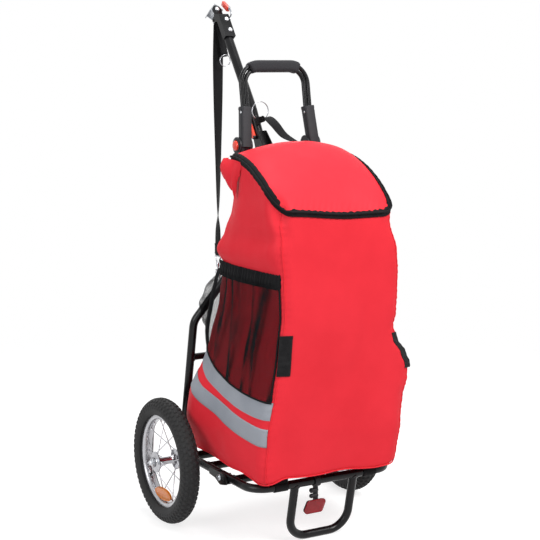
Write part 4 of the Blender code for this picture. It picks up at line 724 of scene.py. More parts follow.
def hoop(centre, axis, radius, wire, count, around):
    # a ring of round wire
    side = axis.orthogonal().normalized()
    other = axis.cross(side)
    points = [
        centre + (side * math.cos(math.tau * i / count) + other * math.sin(math.tau * i / count)) * radius
        for i in range(count + 1)
    ]

    def place(u, v):
        middle = points[round(v * count)]
        out = (middle - centre).normalized()
        angle = u * math.tau
        return middle + (out * math.cos(angle) + axis * math.sin(angle)) * wire

    return cleaned(surface(around, count, place))


def rounded(points, radii, step):
    # a path whose inner corners are arcs
    points = [Vector(p) for p in points]
    if isinstance(radii, (int, float)):
        radii = [radii] * (len(points) - 2)
    path = [points[0]]
    for corner, before, after, radius in zip(points[1:], points, points[2:], radii):
        back, ahead = (before - corner).normalized(), (after - corner).normalized()
        bend = math.pi - back.angle(ahead)
        if bend < 0.01 or radius <= 0:
            path.append(corner)
            continue
        reach = radius * math.tan(bend / 2)
        centre = corner + (back + ahead).normalized() * radius / math.cos(bend / 2)
        start, end = corner + back * reach - centre, corner + ahead * reach - centre
        count = max(2, round(math.degrees(bend) / step))
        for index in range(count + 1):
            share = index / count
            first = math.sin((1 - share) * bend) / math.sin(bend)
            second = math.sin(share * bend) / math.sin(bend)
            path.append(centre + start * first + end * second)
    path.append(points[-1])
    return path


def divided(points, spacing):
    # the same path with points no further apart than the spacing
    path = [points[0]]
    for a, b in zip(points, points[1:]):
        count = max(1, math.ceil((b - a).length / spacing))
        path += [a.lerp(b, (index + 1) / count) for index in range(count)]
    return path


def smoothPath(points, per):
    # a Catmull-Rom curve through the points
    path = []
    for index in range(len(points) - 1):
        before = points[max(index - 1, 0)]
        a, b = points[index], points[index + 1]
        after = points[min(index + 2, len(points) - 1)]
        for step in range(per):
            t = step / per
            path.append(
                0.5 * (2 * a + (b - before) * t + (2 * before - 5 * a + 4 * b - after) * t**2
                       + (3 * a - before - 3 * b + after) * t**3)
            )
    path.append(points[-1])
    return path


def smoothValues(values, per):
    vectors = smoothPath([Vector((value, 0, 0)) for value in values], per)
    return [vector.x for vector in vectors]


def strapOutline(width, thickness):
    # a flat band's cross-section with rounded edges
    half, thick = width / 2, thickness / 2
    return [
        (-half, 0), (-half + thick * 0.4, -thick * 0.8), (-half + thick, -thick), (0, -thick),
        (half - thick, -thick), (half - thick * 0.4, -thick * 0.8), (half, 0), (half - thick * 0.4, thick * 0.8),
        (half - thick, thick), (0, thick), (-half + thick, thick), (-half + thick * 0.4, thick * 0.8),
    ]


def fromNode(name, bevel, segments=2):
    # a CAD node's solid with its loose triangles merged, its flat faces joined and its edges softened
    bm = bmesh.new()
    bm.from_mesh(frame["nodes"][name].data)
    bmesh.ops.remove_doubles(bm, verts=bm.verts, dist=2e-6)
    bmesh.ops.dissolve_limit(
        bm, angle_limit=math.radians(1.0), verts=bm.verts, edges=bm.edges, use_dissolve_boundaries=False
    )
    if bevel:
        soften(bm, bevel, segments=segments)
    return bm


def frameY(height):
    # the middle of the leaning frame tubes
    return layout["frameY"] - math.tan(math.radians(layout["frameLean"])) * (height - layout["deckZ"])


def bagBack(height):
    return frameY(height) - 0.016


# the tow bar's lower pivot, where its own Z runs up the bar
towFrame = shift(0, 0.0199, 0.857) @ turn(-28.5, "X")

# safety strap with its loop and snap hook
strap = {
    "top": (0, 0.24456, 1.16906), "run": 0.577, "width": 0.027, "thickness": 0.002, "eyeWidth": 0.0205,
    # share of the run, sideways, backwards, twist in degrees
    "route": (
        (0, 0, 0, 0), (0.04, 0, 0.0008, -1), (0.16, 0, 0.0030, -6), (0.30, 0.0004, 0.0044, 4),
        (0.46, 0.0004, 0.0050, 20), (0.60, 0, 0.0048, 33), (0.74, -0.0010, 0.0040, 46),
        (0.82, -0.0020, 0.0032, 60), (0.89, -0.0030, 0.0022, 86), (1, -0.0040, 0.0010, 92),
    ),
}


def makeStrap():
    top = Vector(strap["top"])
    route = [top + Vector((side, back, -share * strap["run"])) for share, side, back, _ in strap["route"]]
    path = smoothPath(route, 8)
    turns = [-math.radians(value) for value in smoothValues([row[3] for row in strap["route"]], 8)]
    narrow = strap["eyeWidth"] / strap["width"]

    def widen(share):
        # the eye under the ring is folded narrower than the run
        return narrow + (1 - narrow) * clamped((share - 0.01) / 0.05)

    bm = swept(path, strapOutline(strap["width"], strap["thickness"]), xAxis, turns, scaleAt=widen)
    piece = keepPiece("safetyStrap", bm, "strap", "webbing", ["safety_strap"])
    return piece, path


snap = {
    # how far the shank hangs below the strap's end, its length, half the hook's width and the nose's height
    "drop": 0.0253, "reach": 0.032, "half": 0.008, "nose": 0.013, "wire": 0.0026,
    "loop": (0.0052, 0.0265, 0.026), "stitch": (0.0068, 0.0262, 0.0022),
}


def makeSnapHook(end):
    x, y = end.x, end.y
    # the sewn end: a folded double loop of the webbing with two rows of stitching, round the eye's bar
    sewn = join(bmesh.new(), block(snap["loop"], 0.0012), shift(x, y, end.z + 0.0165))
    rows = [shift(x, y, end.z + height) for height in (0.0275, 0.0045)]
    join(sewn, block(snap["stitch"], 0.0008), *rows)
    loop = keepPiece("strapEndLoop", sewn, "hook_swivel", "webbing")
    top = end.z - snap["drop"]
    low = top - snap["reach"]
    r, nose = snap["half"], low + snap["nose"]
    rod = rounded(
        [(x, y, top), (x, y, top - 0.010), (x, y - r, top - 0.018), (x, y - r, low), (x, y - r, low - r),
         (x, y + r, low - r), (x, y + r, nose)],
        [0.006, 0.006, 0.0001, 0.0079, 0.0079], 10,
    )
    hook = tube(rod, snap["wire"], 16)
    join(hook, ball(0.0048, (1, 1, 1.15)), shift(x, y, top - 0.0005))
    join(hook, ball(0.0036), shift(x, y + r, nose))
    join(hook, turned([(0, 0.0), (0, 0.0022), (0.0078, 0.0022), (0.0078, 0)], 16, closed=False),
         shift(x - 0.0039, y + 0.0048, top - 0.0125))
    hookPiece = keepPiece("snapHook", hook, "hook", "chrome", ["snap_hook"])
    eye = keepPiece("hookEye", fromNode("hook_eye", 0.0), "hook_swivel", "chrome", ["hook_eye"], sharp=60)
    gate = keepPiece("hookGate", fromNode("hook_gate", 0.0), "gate", "chrome", ["hook_gate"], sharp=60)
    return [loop, hookPiece, eye, gate]


strapPiece, strapPath = makeStrap()
hookPieces = makeSnapHook(strapPath[-1])
[tuple(point) for point in strapPath]
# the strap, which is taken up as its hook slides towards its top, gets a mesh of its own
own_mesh(strapPiece)
print("safety strap, hook and gate")

# wheels

wheel = {
    "tyreWidth": 0.0216, "tyreMiddle": 0.1232, "tyreHeight": 0.0230, "blocks": 64, "blockLength": 0.0093,
    "blockHeight": 0.0018, "rimRadius": 0.0955, "nippleFoot": 0.0905, "valveFoot": 0.0967, "valveTurn": 123,
    # spokes cross on their way from a flange of the hub to the rim
    "spokes": 20, "spokeRadius": 0.0011, "spokeLean": math.tau / 10, "spokeBend": 0.0022, "spokeHead": 0.0019,
    "flangeX": 0.026, "flangeRadius": 0.021, "flangeHalf": 0.0015, "rimX": 0.002,
}


def wheelPlace(side):
    # a wheel is made about the X axis, its outer side at +X
    return shift(side * layout["wheelX"], layout["axleY"], layout["wheelZ"]) @ facingOut(side)


def carcassPoint(angle, lift):
    # the angle is in degrees from the crown, and the lift stands out from the tyre's skin
    a = math.radians(angle)
    x = math.copysign(abs(math.sin(a)) ** 0.92, a) * (wheel["tyreWidth"] + lift)
    return x, wheel["tyreMiddle"] + (wheel["tyreHeight"] + lift) * math.cos(a)


def tyreShape():
    half = []
    for step in range(33):
        angle = step * 128 / 32
        # fine ridges run round the sidewall
        onSidewall = 72 < angle < 118
        ridge = 0.00045 * max(0.0, math.sin(math.radians((angle - 72) * 26))) if onSidewall else 0.0
        half.append(carcassPoint(angle, ridge))
    half += [(0.0122, 0.1093), (0.0098, 0.1085), (0.0096, 0.1020), (0.0078, 0.1012)]
    inner = [(0.0078, 0.1085), (0.0150, 0.1130), (0.0190, 0.1240), (0.0150, 0.1370), (0.0, 0.1425)]
    profile = half + inner
    return turned(profile + [(-x, r) for x, r in reversed(profile[1:-1])], 144)


def treadBlock(angle, width, length, height, slant):
    # one rubber block, its foot wider than its crown, standing on the tyre's skin
    bm = block((width, length, height + 0.002))
    crown = [face for face in bm.faces if face.normal.z > 0.5]
    edge = {vert for face in crown for vert in face.verts}
    bmesh.ops.scale(bm, verts=list(edge), vec=(0.84, 0.88, 1))
    soften(bm, 0.0005, 28, 1)
    x, r = carcassPoint(angle, height / 2 - 0.0012)
    lean = math.degrees(math.atan2(math.sin(math.radians(angle)) * 1.03, math.cos(math.radians(angle))))
    return moved(bm, shift(x, 0, r) @ turn(lean, "Y") @ turn(slant, "Z"))


def makeTyre(side, label):
    bm = tyreShape()
    pitch = 360 / wheel["blocks"]
    length, height = wheel["blockLength"], wheel["blockHeight"]
    # row angle from the crown, block width, length, height, share of a pitch, slant
    rows = (
        (-13, 0.0074, length, height, 0.0, 8), (13, 0.0074, length, height, 0.5, -8),
        (-39, 0.0078, length * 0.92, height, 0.5, -6), (39, 0.0078, length * 0.92, height, 0.0, 6),
        (-64, 0.0070, length * 0.80, height * 0.9, 0.0, 0), (64, 0.0070, length * 0.80, height * 0.9, 0.5, 0),
        (-86, 0.0052, length * 0.42, height * 0.55, 0.5, 0), (86, 0.0052, length * 0.42, height * 0.55, 0.0, 0),
    )
    for angle, width, long, high, phase, slant in rows:
        places = [turn((index + phase) * pitch, "X") for index in range(wheel["blocks"])]
        join(bm, treadBlock(angle, width, long, high, slant), *places)
    moved(bm, wheelPlace(side))
    keepPiece(label + "Tyre", bm, label + "_wheel", "rubber", [label + "_tyre"], sharp=45)


def makeRim(side, label):
    half = [
        (0.0, 0.0963), (0.0040, 0.0966), (0.0082, 0.0981), (0.0108, 0.0993), (0.0119, 0.1008), (0.0121, 0.1030),
        (0.0121, 0.1085), (0.0119, 0.1108), (0.0112, 0.1117), (0.0104, 0.1116), (0.0100, 0.1108), (0.0100, 0.1085),
        (0.0099, 0.1030), (0.0084, 0.1006), (0.0060, 0.0990), (0.0, 0.0985),
    ]
    profile = half + [(-x, r) for x, r in reversed(half[1:-1])]
    bm = turned(profile, 144)
    places = []
    for index in range(wheel["spokes"]):
        foot = shift(wheel["rimX"] if index % 2 == 0 else -wheel["rimX"], 0, wheel["nippleFoot"])
        places.append(turn(index * 360 / wheel["spokes"], "X") @ foot @ turn(-90, "Y"))
    nipple = [(0, 0), (0, 0.0019), (0.0052, 0.0021), (0.0064, 0.0028), (0.0075, 0.0028), (0.0075, 0)]
    join(bm, turned(nipple, 12, closed=False), *places)
    moved(bm, wheelPlace(side))
    keepPiece(label + "Rim", bm, label + "_wheel", "alloy", [label + "_rim"], sharp=32)
    # the valve, with its cap, points to the axle
    bm = turned([(0, 0), (0, 0.0028), (0.002, 0.0034), (0.004, 0.0034), (0.005, 0.0026), (0.013, 0.0026),
                 (0.0132, 0.0036), (0.020, 0.0036), (0.0215, 0.0022), (0.0215, 0)], 20, closed=False)
    moved(bm, wheelPlace(side) @ turn(wheel["valveTurn"], "X") @ shift(0, 0, wheel["valveFoot"]) @ turn(90, "Y"))
    keepPiece(label + "Valve", bm, label + "_wheel", "rubber")


def makeHub(side, label):
    profile = [
        (-0.0547, 0.0064), (-0.0547, 0.0086), (-0.0540, 0.0090), (-0.0302, 0.0090), (-0.0300, 0.0118),
        (-0.0293, 0.0125), (-0.0278, 0.0142), (-0.0275, 0.0150), (-0.0275, 0.0238), (-0.0270, 0.0245),
        (-0.0250, 0.0245), (-0.0245, 0.0238), (-0.0245, 0.0150), (-0.0235, 0.0128), (-0.0190, 0.0104),
        (-0.0100, 0.0094), (0.0100, 0.0094), (0.0190, 0.0104), (0.0235, 0.0128), (0.0245, 0.0150),
        (0.0245, 0.0238), (0.0250, 0.0245), (0.0270, 0.0245), (0.0275, 0.0238), (0.0275, 0.0150),
        (0.0278, 0.0142), (0.0293, 0.0125), (0.0300, 0.0118), (0.0300, 0.0064),
    ]
    bm = turned(profile, 64)
    moved(bm, wheelPlace(side))
    keepPiece(label + "Hub", bm, label + "_wheel", "chrome", [label + "_hub_and_spokes"], sharp=34)
    # the dark bearing seal inside the hub's mouth
    bm = turned([(0.0296, 0.0064), (0.0305, 0.0066), (0.0308, 0.0085), (0.0305, 0.0108), (0.0296, 0.0110)], 40)
    moved(bm, wheelPlace(side))
    keepPiece(label + "BearingSeal", bm, label + "_wheel", "rubber")
    bm = bmesh.new()
    count = wheel["spokes"]
    rimRadius, hubRadius = wheel["rimRadius"], wheel["flangeRadius"]
    for index in range(count):
        # every second spoke is on the other flange, and every second pair leans the other way
        way = 1 if index % 2 == 0 else -1
        lead = 1 if (index // 2) % 2 == 0 else -1
        rimAngle = math.tau * index / count
        hubAngle = rimAngle + wheel["spokeLean"] * lead
        lift = wheel["flangeHalf"] * lead
        rimEnd = Vector((way * wheel["rimX"], rimRadius * math.sin(rimAngle), rimRadius * math.cos(rimAngle)))
        flangeX = way * (wheel["flangeX"] + lift)
        elbow = Vector((flangeX, hubRadius * math.sin(hubAngle), hubRadius * math.cos(hubAngle)))
        head = Vector((way * (wheel["flangeX"] - lift), elbow.y, elbow.z))
        path = rounded([head, elbow, rimEnd], wheel["spokeBend"], 30)
        join(bm, tube(path, wheel["spokeRadius"], 10))
        join(bm, ball(wheel["spokeHead"], (0.6, 1, 1)), Matrix.Translation(head))
    moved(bm, wheelPlace(side))
    keepPiece(label + "Spokes", bm, label + "_wheel", "chrome", sharp=50)


reflector = {
    "long": 0.076, "high": 0.034, "thick": 0.005, "power": 0.85,
    # its place among the spokes: out from the wheel's middle, below the axle, and its two turns in degrees
    "x": 0.01173, "reach": 0.0775, "turn": 7, "lean": 18.4,
    # raised rim and slightly crowned lens: width and depth of each inset
    "insets": ((0.0016, 0.0), (0.0006, -0.0006), (0.0030, 0.0007), (0.0040, 0.0003)),
}


def inset(bm, faces, rings):
    for width, depth in rings:
        bmesh.ops.inset_region(bm, faces=faces, thickness=width, depth=depth)


def makeWheelReflector(side, label):
    outline = []
    for index in range(56):
        angle = math.tau * index / 56
        x, y = (math.copysign(abs(f) ** reflector["power"], f) for f in (math.cos(angle), math.sin(angle)))
        outline.append((x * reflector["long"] / 2, y * reflector["high"] / 2))
    bm = plate(outline, reflector["thick"])
    inset(bm, [face for face in bm.faces if face.normal.z > 0.9], reflector["insets"])
    # the clip's ears behind it hold two spokes
    join(bm, block((0.010, 0.006, 0.0046), 0.0008), shift(-0.021, 0, -0.0038), shift(0.021, 0, -0.0038))
    local = turn(-side * reflector["turn"], "X") @ shift(reflector["x"], 0, -reflector["reach"])
    moved(bm, wheelPlace(side) @ local @ turn(reflector["lean"], "Y") @ sideways)
    keepPiece(label + "WheelReflector", bm, label + "_wheel", "amberLens", [label + "_wheel_reflector"], sharp=24)


for label, side in sides:
    makeTyre(side, label)
    makeRim(side, label)
    makeHub(side, label)
    makeWheelReflector(side, label)
print("wheels")

# axle

axle = {"half": 0.2935, "radius": 0.006, "thread": 0.0009, "crests": 26, "nutX": 0.2820}


def makeAxle():
    half, r = axle["half"], axle["radius"]
    profile = [(-half, 0), (-half, r - 0.001), (-half + 0.001, r - 0.0001)]
    step = axle["thread"]
    # the thread's crests show past the nuts
    turns = [half - 0.0012 - i * step for i in range(axle["crests"])]
    crests = [(x, r - 0.0001 if i % 2 else r - 0.0006) for i, x in enumerate(turns)]
    profile += [(-x, radius) for x, radius in crests] + crests[::-1]
    profile += [(half - 0.001, r - 0.0001), (half, r - 0.001), (half, 0)]
    bm = turned(profile, 28, closed=False)
    moved(bm, shift(0, layout["axleY"], layout["wheelZ"]))
    keepPiece("axle", bm, bodyOf("axle"), "zinc", ["axle"], sharp=30)
    for label, side in sides:
        bm = join(bmesh.new(), hexNut(0.0168, 0.0068), shift(0.0001, 0, 0))
        place = shift(side * axle["nutX"], layout["axleY"], layout["wheelZ"]) @ facingOut(side)
        washer = turned([(-0.0004, 0.0064), (0.0010, 0.0064), (0.0010, 0.0096), (-0.0004, 0.0096)], 40)
        join(bm, washer)
        moved(bm, place)
        node = label + "_axle_nut"
        keepPiece(label + "AxleNut", bm, bodyOf(node), "zinc", [node], sharp=30)


makeAxle()

# frame, platform and stand

tubing = {
    "radius": 0.0095, "barRadius": 0.008, "axleTube": 0.0105, "axleTubeHalf": 0.1692, "weld": 0.0021,
    "bend": 0.045, "standHalf": 0.0775, "standBack": 0.030,
}


def weldBead(centre, run, across, tubeRadius, barRadius):
    # a rippled bead where a bar that leaves along "across" meets a tube that runs along "run"
    normal = across.cross(run).normalized()
    points = []
    for index in range(49):
        angle = math.tau * index / 48
        first, second = barRadius * math.cos(angle), barRadius * math.sin(angle)
        out = math.sqrt(max(tubeRadius**2 - first**2, 1e-8))
        points.append(centre + across * out + normal * first + run * second)
    along = stations(points[:-1])

    def place(u, v):
        index = round(v * 48) % 48
        point, side, flat = along[index]
        bead = tubing["weld"] * (1 + 0.14 * math.sin(index * math.tau / 4))
        angle = u * math.tau
        return point + (side * math.cos(angle) + flat * math.sin(angle)) * bead

    return cleaned(surface(10, 48, place))


def sideTube(s):
    # from its open end under the platform, back along the deck and up the leaning back
    points = [(s * layout["frameX"], -0.0946, layout["deckZ"])]
    for x, height in (("frameX", layout["deckZ"]), ("frameX", 0.475), ("upperX", 0.6), ("upperX", 0.858)):
        points.append((s * layout[x], frameY(height), height))
    return rounded(points, [0.048, tubing["bend"], tubing["bend"]], 5)


def level(half, y, z):
    # a straight path across the frame
    return [Vector((x * half, y, z)) for x in (-1, -0.33, 0.33, 1)]


def crossbar(name, node, y, z, half, radius, run):
    # a bar between the side tubes, which run along "run" there
    bm = tube(level(half - tubing["radius"] * 0.6, y, z), radius, 28)
    for s in (-1, 1):
        join(bm, weldBead(Vector((s * half, y, z)), run, Vector((-s, 0, 0)), tubing["radius"], radius))
    return keepPiece(name, bm, bodyOf(node), "framePaint", [node], sharp=50)


def endPlug(centre, out, radius):
    # a plastic plug closes an open tube end
    profile = [(-0.004, 0), (-0.004, radius - 0.0014), (0, radius - 0.0014), (0.0002, radius - 0.0001),
               (0.0012, radius - 0.0004), (0.0018, radius - 0.0016), (0.0018, 0)]
    return join(bmesh.new(), turned(profile, 28, closed=False), Matrix.Translation(centre) @ facing(out))


def makeFrame():
    plugs = bmesh.new()
    for label, s in sides:
        path = sideTube(s)
        bm = tube(path, tubing["radius"], 32)
        boss = turned([(-0.0130, 0.0063), (-0.0135, 0.0070), (-0.0135, 0.0139), (-0.0128, 0.0145), (0.0128, 0.0145),
                       (0.0135, 0.0139), (0.0135, 0.0070), (0.0130, 0.0063)], 48)
        join(bm, boss, shift(s * layout["frameX"], layout["axleY"], layout["wheelZ"]))
        keepPiece(label + "FrameTube", bm, "frame", "framePaint", [label + "_frame_tube"], sharp=50)
        join(plugs, endPlug(path[0], (path[0] - path[1]).normalized(), tubing["radius"]))
    keepPiece("frameTubePlugs", plugs, "frame", "plastic")
    angle = math.radians(layout["frameLean"])
    lean = Vector((0, -math.sin(angle), math.cos(angle)))
    wide, narrow, thick, thin = layout["frameX"], layout["upperX"], tubing["radius"], tubing["barRadius"]
    crossbar("rearDeckBar", "rear_deck_bar", -0.0346, layout["deckZ"], wide, thick, yAxis)
    crossbar("middleCrossbar", "middle_crossbar", 0.0494, 0.387, wide, thin, lean)
    crossbar("upperCrossbar", "upper_crossbar", -0.0379, 0.820, narrow, thin, lean)
    bm = tube(level(tubing["axleTubeHalf"], layout["axleY"], layout["wheelZ"]), tubing["axleTube"], 28)
    keepPiece("axleTube", bm, bodyOf("axle_tube"), "framePaint", ["axle_tube"], sharp=50)


makeFrame()


def makePlatform():
    z, front, back = layout["deckZ"], layout["platformY"], layout["deckEndY"]
    half, radius = layout["frameX"], tubing["radius"]
    path = rounded([(-half, back, z), (-half, front, z), (half, front, z), (half, back, z)], tubing["bend"], 5)
    bm = tube(divided(path, 0.08), radius, 32)
    keepPiece("platformTube", bm, "platform", "framePaint", ["platform_tube"], sharp=50)
    crossbar("platformBar", "platform_bar", -0.1566, z, half, radius, yAxis)
    bm = bmesh.new()
    for _, s in sides:
        join(bm, endPlug(Vector((s * half, back, z)), yAxis, radius))
    keepPiece("platformTubePlugs", bm, "platform", "plastic")
    x, y = tubing["standHalf"], front + tubing["standBack"]
    foot = rounded([(-x, front, z), (-x, y, radius), (x, y, radius), (x, front, z)], 0.047, 5)
    stand = tube(divided(foot, 0.06), radius, 32)
    run = (foot[0] - foot[1]).normalized()
    for s in (-1, 1):
        join(stand, weldBead(Vector((s * x, front, z)), xAxis, -run, radius, radius))
    keepPiece("stand", stand, "platform", "framePaint", ["stand"], sharp=50)
    for label, s in sides:
        node = label + "_platform_bracket"
        bm = fromNode(node, 0.0005)
        keepPiece(label + "PlatformBracket", bm, bodyOf(node), "framePaint", [node], sharp=32, flat=True)
        node = label + "_pivot_bolt"
        bm = fromNode(node, 0.0)
        # the bolt's head has a hollow for a key
        head = turned([(0, 0), (0, 0.0070), (0.0006, 0.0072), (0.0026, 0.0066), (0.0040, 0.0050), (0.0046, 0.0034),
                       (0.0030, 0.0032), (0.0030, 0)], 40, closed=False)
        join(bm, head, shift(s * 0.1962, layout["pivotY"], 0.141) @ facingOut(s))
        keepPiece(label + "PivotBolt", bm, bodyOf(node), "steel", [node], sharp=34)


makePlatform()


bagStrap = {"x": 0.117, "width": 0.034, "thickness": 0.002, "radius": 0.0098 + 0.001}


def makeBagStraps():
    # a loop of webbing round the platform's front tube, sewn to the bag's bottom
    y, z, r = layout["platformY"], layout["deckZ"], bagStrap["radius"]
    top, width = layout["bagBottom"] - 0.0008, bagStrap["width"]
    for label, s in sides:
        x = s * bagStrap["x"]
        points = [Vector((x, y + 0.006, top))]
        for step in range(29):
            angle = math.radians(50 - step * 10)
            points.append(Vector((x, y + r * math.cos(angle), z + r * math.sin(angle))))
        points.append(Vector((x, y - 0.006, top)))
        bm = swept(points, strapOutline(width, bagStrap["thickness"]), xAxis)
        join(bm, block((width, 0.0098, 0.0026), 0.0008), shift(x, y, top - 0.0030))
        node = label + "_bag_strap"
        keepPiece(label + "BagStrap", bm, bodyOf(node), "webbing", [node], sharp=50)


makeBagStraps()


# the clamp's two knuckles: height and radius; the lens's rim: width and depth of each inset
rearReflector = {"x": -0.031, "y": -0.2530, "knuckles": ((0.1225, 0.0056), (0.1100, 0.0050)),
                 "insets": ((0.0018, 0.0), (0.0005, -0.0007))}


def makeRearReflector():
    bm = fromNode("reflector_mount", 0.0006)
    for height, radius in rearReflector["knuckles"]:
        barrel = turned([(-0.0082, 0), (-0.0082, radius - 0.0008), (-0.0074, radius), (0.0074, radius),
                         (0.0082, radius - 0.0008), (0.0082, 0)], 32, closed=False)
        join(barrel, hexNut(0.0070, 0.0028), shift(0.0082, 0, 0))
        join(barrel, domed(0.0040, 0.0022, 24), shift(-0.0082, 0, 0) @ turn(180, "Z"))
        join(bm, barrel, shift(rearReflector["x"], rearReflector["y"], height))
    keepPiece("reflectorMount", bm, bodyOf("reflector_mount"), "plastic", ["reflector_mount"],
              sharp=32, flat=True)
    bm = fromNode("reflector_lens", 0.0)
    inset(bm, [face for face in bm.faces if face.normal.y < -0.95], rearReflector["insets"])
    keepPiece("rearReflector", bm, bodyOf("reflector_lens"), "redLens", ["reflector_lens"],
              sharp=32, flat=True)


makeRearReflector()
print("frame, platform and stand")

# folding handle

handle = {
    "pivotZ": 0.884, "lean": -9.3, "rod": 0.005, "rodGap": 0.00575, "hoopX": 0.083, "hoopTop": 0.180, "start": 0.068,
    "corner": 0.041, "gripHalf": 0.062, "gripWide": 0.0130, "gripDeep": 0.0135,
    "buttonOut": 0.016, "buttonY": -0.0388, "sleeveLean": 4.9, "pinOut": 0.0134, "pinHeight": 0.0745,
    # heights of the moulded ridge round a sleeve's mouth
    "ridge": (0.0815, 0.0822, 0.0858, 0.0865),
}
handleFrame = shift(0, frameY(handle["pivotZ"]), handle["pivotZ"]) @ turn(handle["lean"], "X")


def hoopPath(offset):
    x, top = handle["hoopX"] + offset, handle["hoopTop"] + offset
    corner = handle["corner"] + offset
    flatPath = rounded([(-x, 0, handle["start"]), (-x, 0, top), (x, 0, top), (x, 0, handle["start"])], corner, 6)
    return [handleFrame @ point for point in divided(flatPath, 0.03)]


def makeHandle():
    pins = bmesh.new()
    for label, s in sides:
        for node, width in ((label + "_hinge_base", 0.0011), (label + "_handle_sleeve", 0.0014)):
            bm = fromNode(node, width, 3)
            if "sleeve" in node:
                # a pin through the sleeve near its top, and the ridge round its mouth
                place = handleFrame @ shift(s * layout["upperX"], 0, 0) @ turn(-s * handle["sleeveLean"], "Y")
                for way in (-1, 1):
                    head = shift(way * handle["pinOut"], -0.0045, handle["pinHeight"]) @ facingOut(way)
                    join(pins, domed(0.0028, 0.0013, 20), place @ head)
                outline = [(a * 0.0139, b * 0.0115) for a, b in squareOutline()]
                join(bm, swept([Vector((0, 0, height)) for height in handle["ridge"]], outline, xAxis), place)
            name = label + ("HandleSleeve" if "sleeve" in node else "HingeBase")
            keepPiece(name, bm, bodyOf(node), "plastic", [node], sharp=34, flat=True)
        place = shift(s * (layout["upperX"] + handle["buttonOut"]), handle["buttonY"], handle["pivotZ"]) @ facingOut(s)
        node = label + "_fold_button"
        button = turned([(-0.0018, 0), (-0.0018, 0.0109), (0.0030, 0.0115), (0.0042, 0.0113), (0.0055, 0.0098),
                         (0.0065, 0.0072), (0.0070, 0.0040), (0.0071, 0)], 48, closed=False)
        keepPiece(label + "FoldButton", moved(button, place), bodyOf(node), "buttonRed", [node], sharp=50)
        # the moulded collar round the button
        collar = turned([(-0.002, 0.0119), (0.0012, 0.0121), (0.0022, 0.0130), (0.0018, 0.0148), (-0.002, 0.0154)], 48)
        node = label + "_hinge_base"
        keepPiece(label + "ButtonCollar", moved(collar, place), bodyOf(node), "plastic", sharp=50)
    keepPiece("sleevePins", pins, "handle", "zinc", sharp=40)
    for node, offset in (("outer_handle_rod", handle["rodGap"]), ("inner_handle_rod", -handle["rodGap"])):
        bm = tube(hoopPath(offset), handle["rod"], 20)
        name = "outerHandleRod" if offset > 0 else "innerHandleRod"
        keepPiece(name, bm, "handle", "framePaint", [node], sharp=50)
    # foam grip over both rods
    path = [point for point in hoopPath(0.0) if abs(point.x) <= handle["gripHalf"] + 0.002]
    path = divided(path, 0.004)
    outline = [(a * handle["gripWide"], b * handle["gripDeep"]) for a, b in squareOutline(0.55)]

    def ends(share):
        near = min(share, 1 - share)
        return 0.90 + 0.10 * min(1, near / 0.05) + 0.0035 * math.sin(share * 120)

    bm = swept(path, outline, handleFrame.to_3x3() @ yAxis, scaleAt=ends)
    grip = keepPiece("handleGrip", bm, "handle", "foam", ["handle_grip"], sharp=50)


def squareOutline(power=0.45):
    # a rounded square from -1 to 1
    points, count = [], 40
    for index in range(count):
        angle = math.tau * index / count
        c, s = math.cos(angle), math.sin(angle)
        points.append((math.copysign(abs(c) ** power, c), math.copysign(abs(s) ** power, s)))
    return points


makeHandle()
print("handle")

# tow bar and hitch

hitch = {
    "end": Vector((0, 0.2288, 1.1786)), "lean": -35.1, "radius": 0.011, "barFoot": -0.0126, "barBend": 0.122,
    "bendRadius": 0.20,
    # piece, node, x, height, front and back face of what each bolt holds
    "bolts": (
        ("jawBolt", "jaw_bolt", 0, 0.030, 0.0057, 0.0107),
        ("lowerHitchBolt", "lower_hitch_bolt", 0.004, -0.046, -0.0138, 0.0113),
        ("upperHitchBolt", "upper_hitch_bolt", 0.004, -0.0145, -0.0138, 0.0113),
    ),
}
hitchFrame = Matrix.Translation(hitch["end"]) @ turn(hitch["lean"], "X")


def makeTowBar():
    start, corner = (towFrame @ Vector((0, 0, height)) for height in (hitch["barFoot"], hitch["barBend"]))
    end = hitchFrame @ Vector((0, 0, -0.0035))
    path = rounded([start, corner, end], hitch["bendRadius"], 1.0)
    bm = tube(divided(path, 0.03), hitch["radius"], 36)
    keepPiece("towBar", bm, "tow_bar", "framePaint", ["tow_bar_tube"], sharp=50)
    bm = fromNode("tow_bracket", 0.0005)
    keepPiece("towBracket", bm, bodyOf("tow_bracket"), "framePaint", ["tow_bracket"],
              sharp=34, flat=True)
    # the lever with its red grip, and a dark foot by its pivot
    bm = fromNode("lock_lever", 0.0012, 3)
    join(bm, block((0.0066, 0.0095, 0.036), 0.0018), shift(-0.0186, 0.0725, 0.950) @ turn(-36.5, "X"))
    lever = keepPiece("lockLever", bm, "lever", "buttonRed", ["lock_lever"], sharp=34, flat=True)
    lever.data.materials.append(materials["plastic"])
    for face in lever.data.polygons:
        if face.center.z < 0.915:
            face.material_index = 1


def hitchBolt(name, node, x, height, front, back):
    # a round-headed bolt along Y through the bracket, with its nut behind
    head = [(0, 0), (0.0003, 0.0024), (0.0012, 0.0043), (0.0026, 0.0056), (0.0040, 0.0060), (0.0044, 0.0060)]
    profile = [(front - 0.0046 + along, radius) for along, radius in head]
    profile += [(front - 0.0002, 0.0030), (back + 0.0062, 0.0030), (back + 0.0068, 0.0024), (back + 0.0068, 0)]
    bm = turned(profile, 40, closed=False)
    join(bm, hexNut(0.0096, 0.0046), shift(back + 0.0004, 0, 0))
    moved(bm, hitchFrame @ shift(x, 0, height) @ turn(90, "Z"))
    keepPiece(name, bm, bodyOf(node), "zinc", [node], sharp=34)


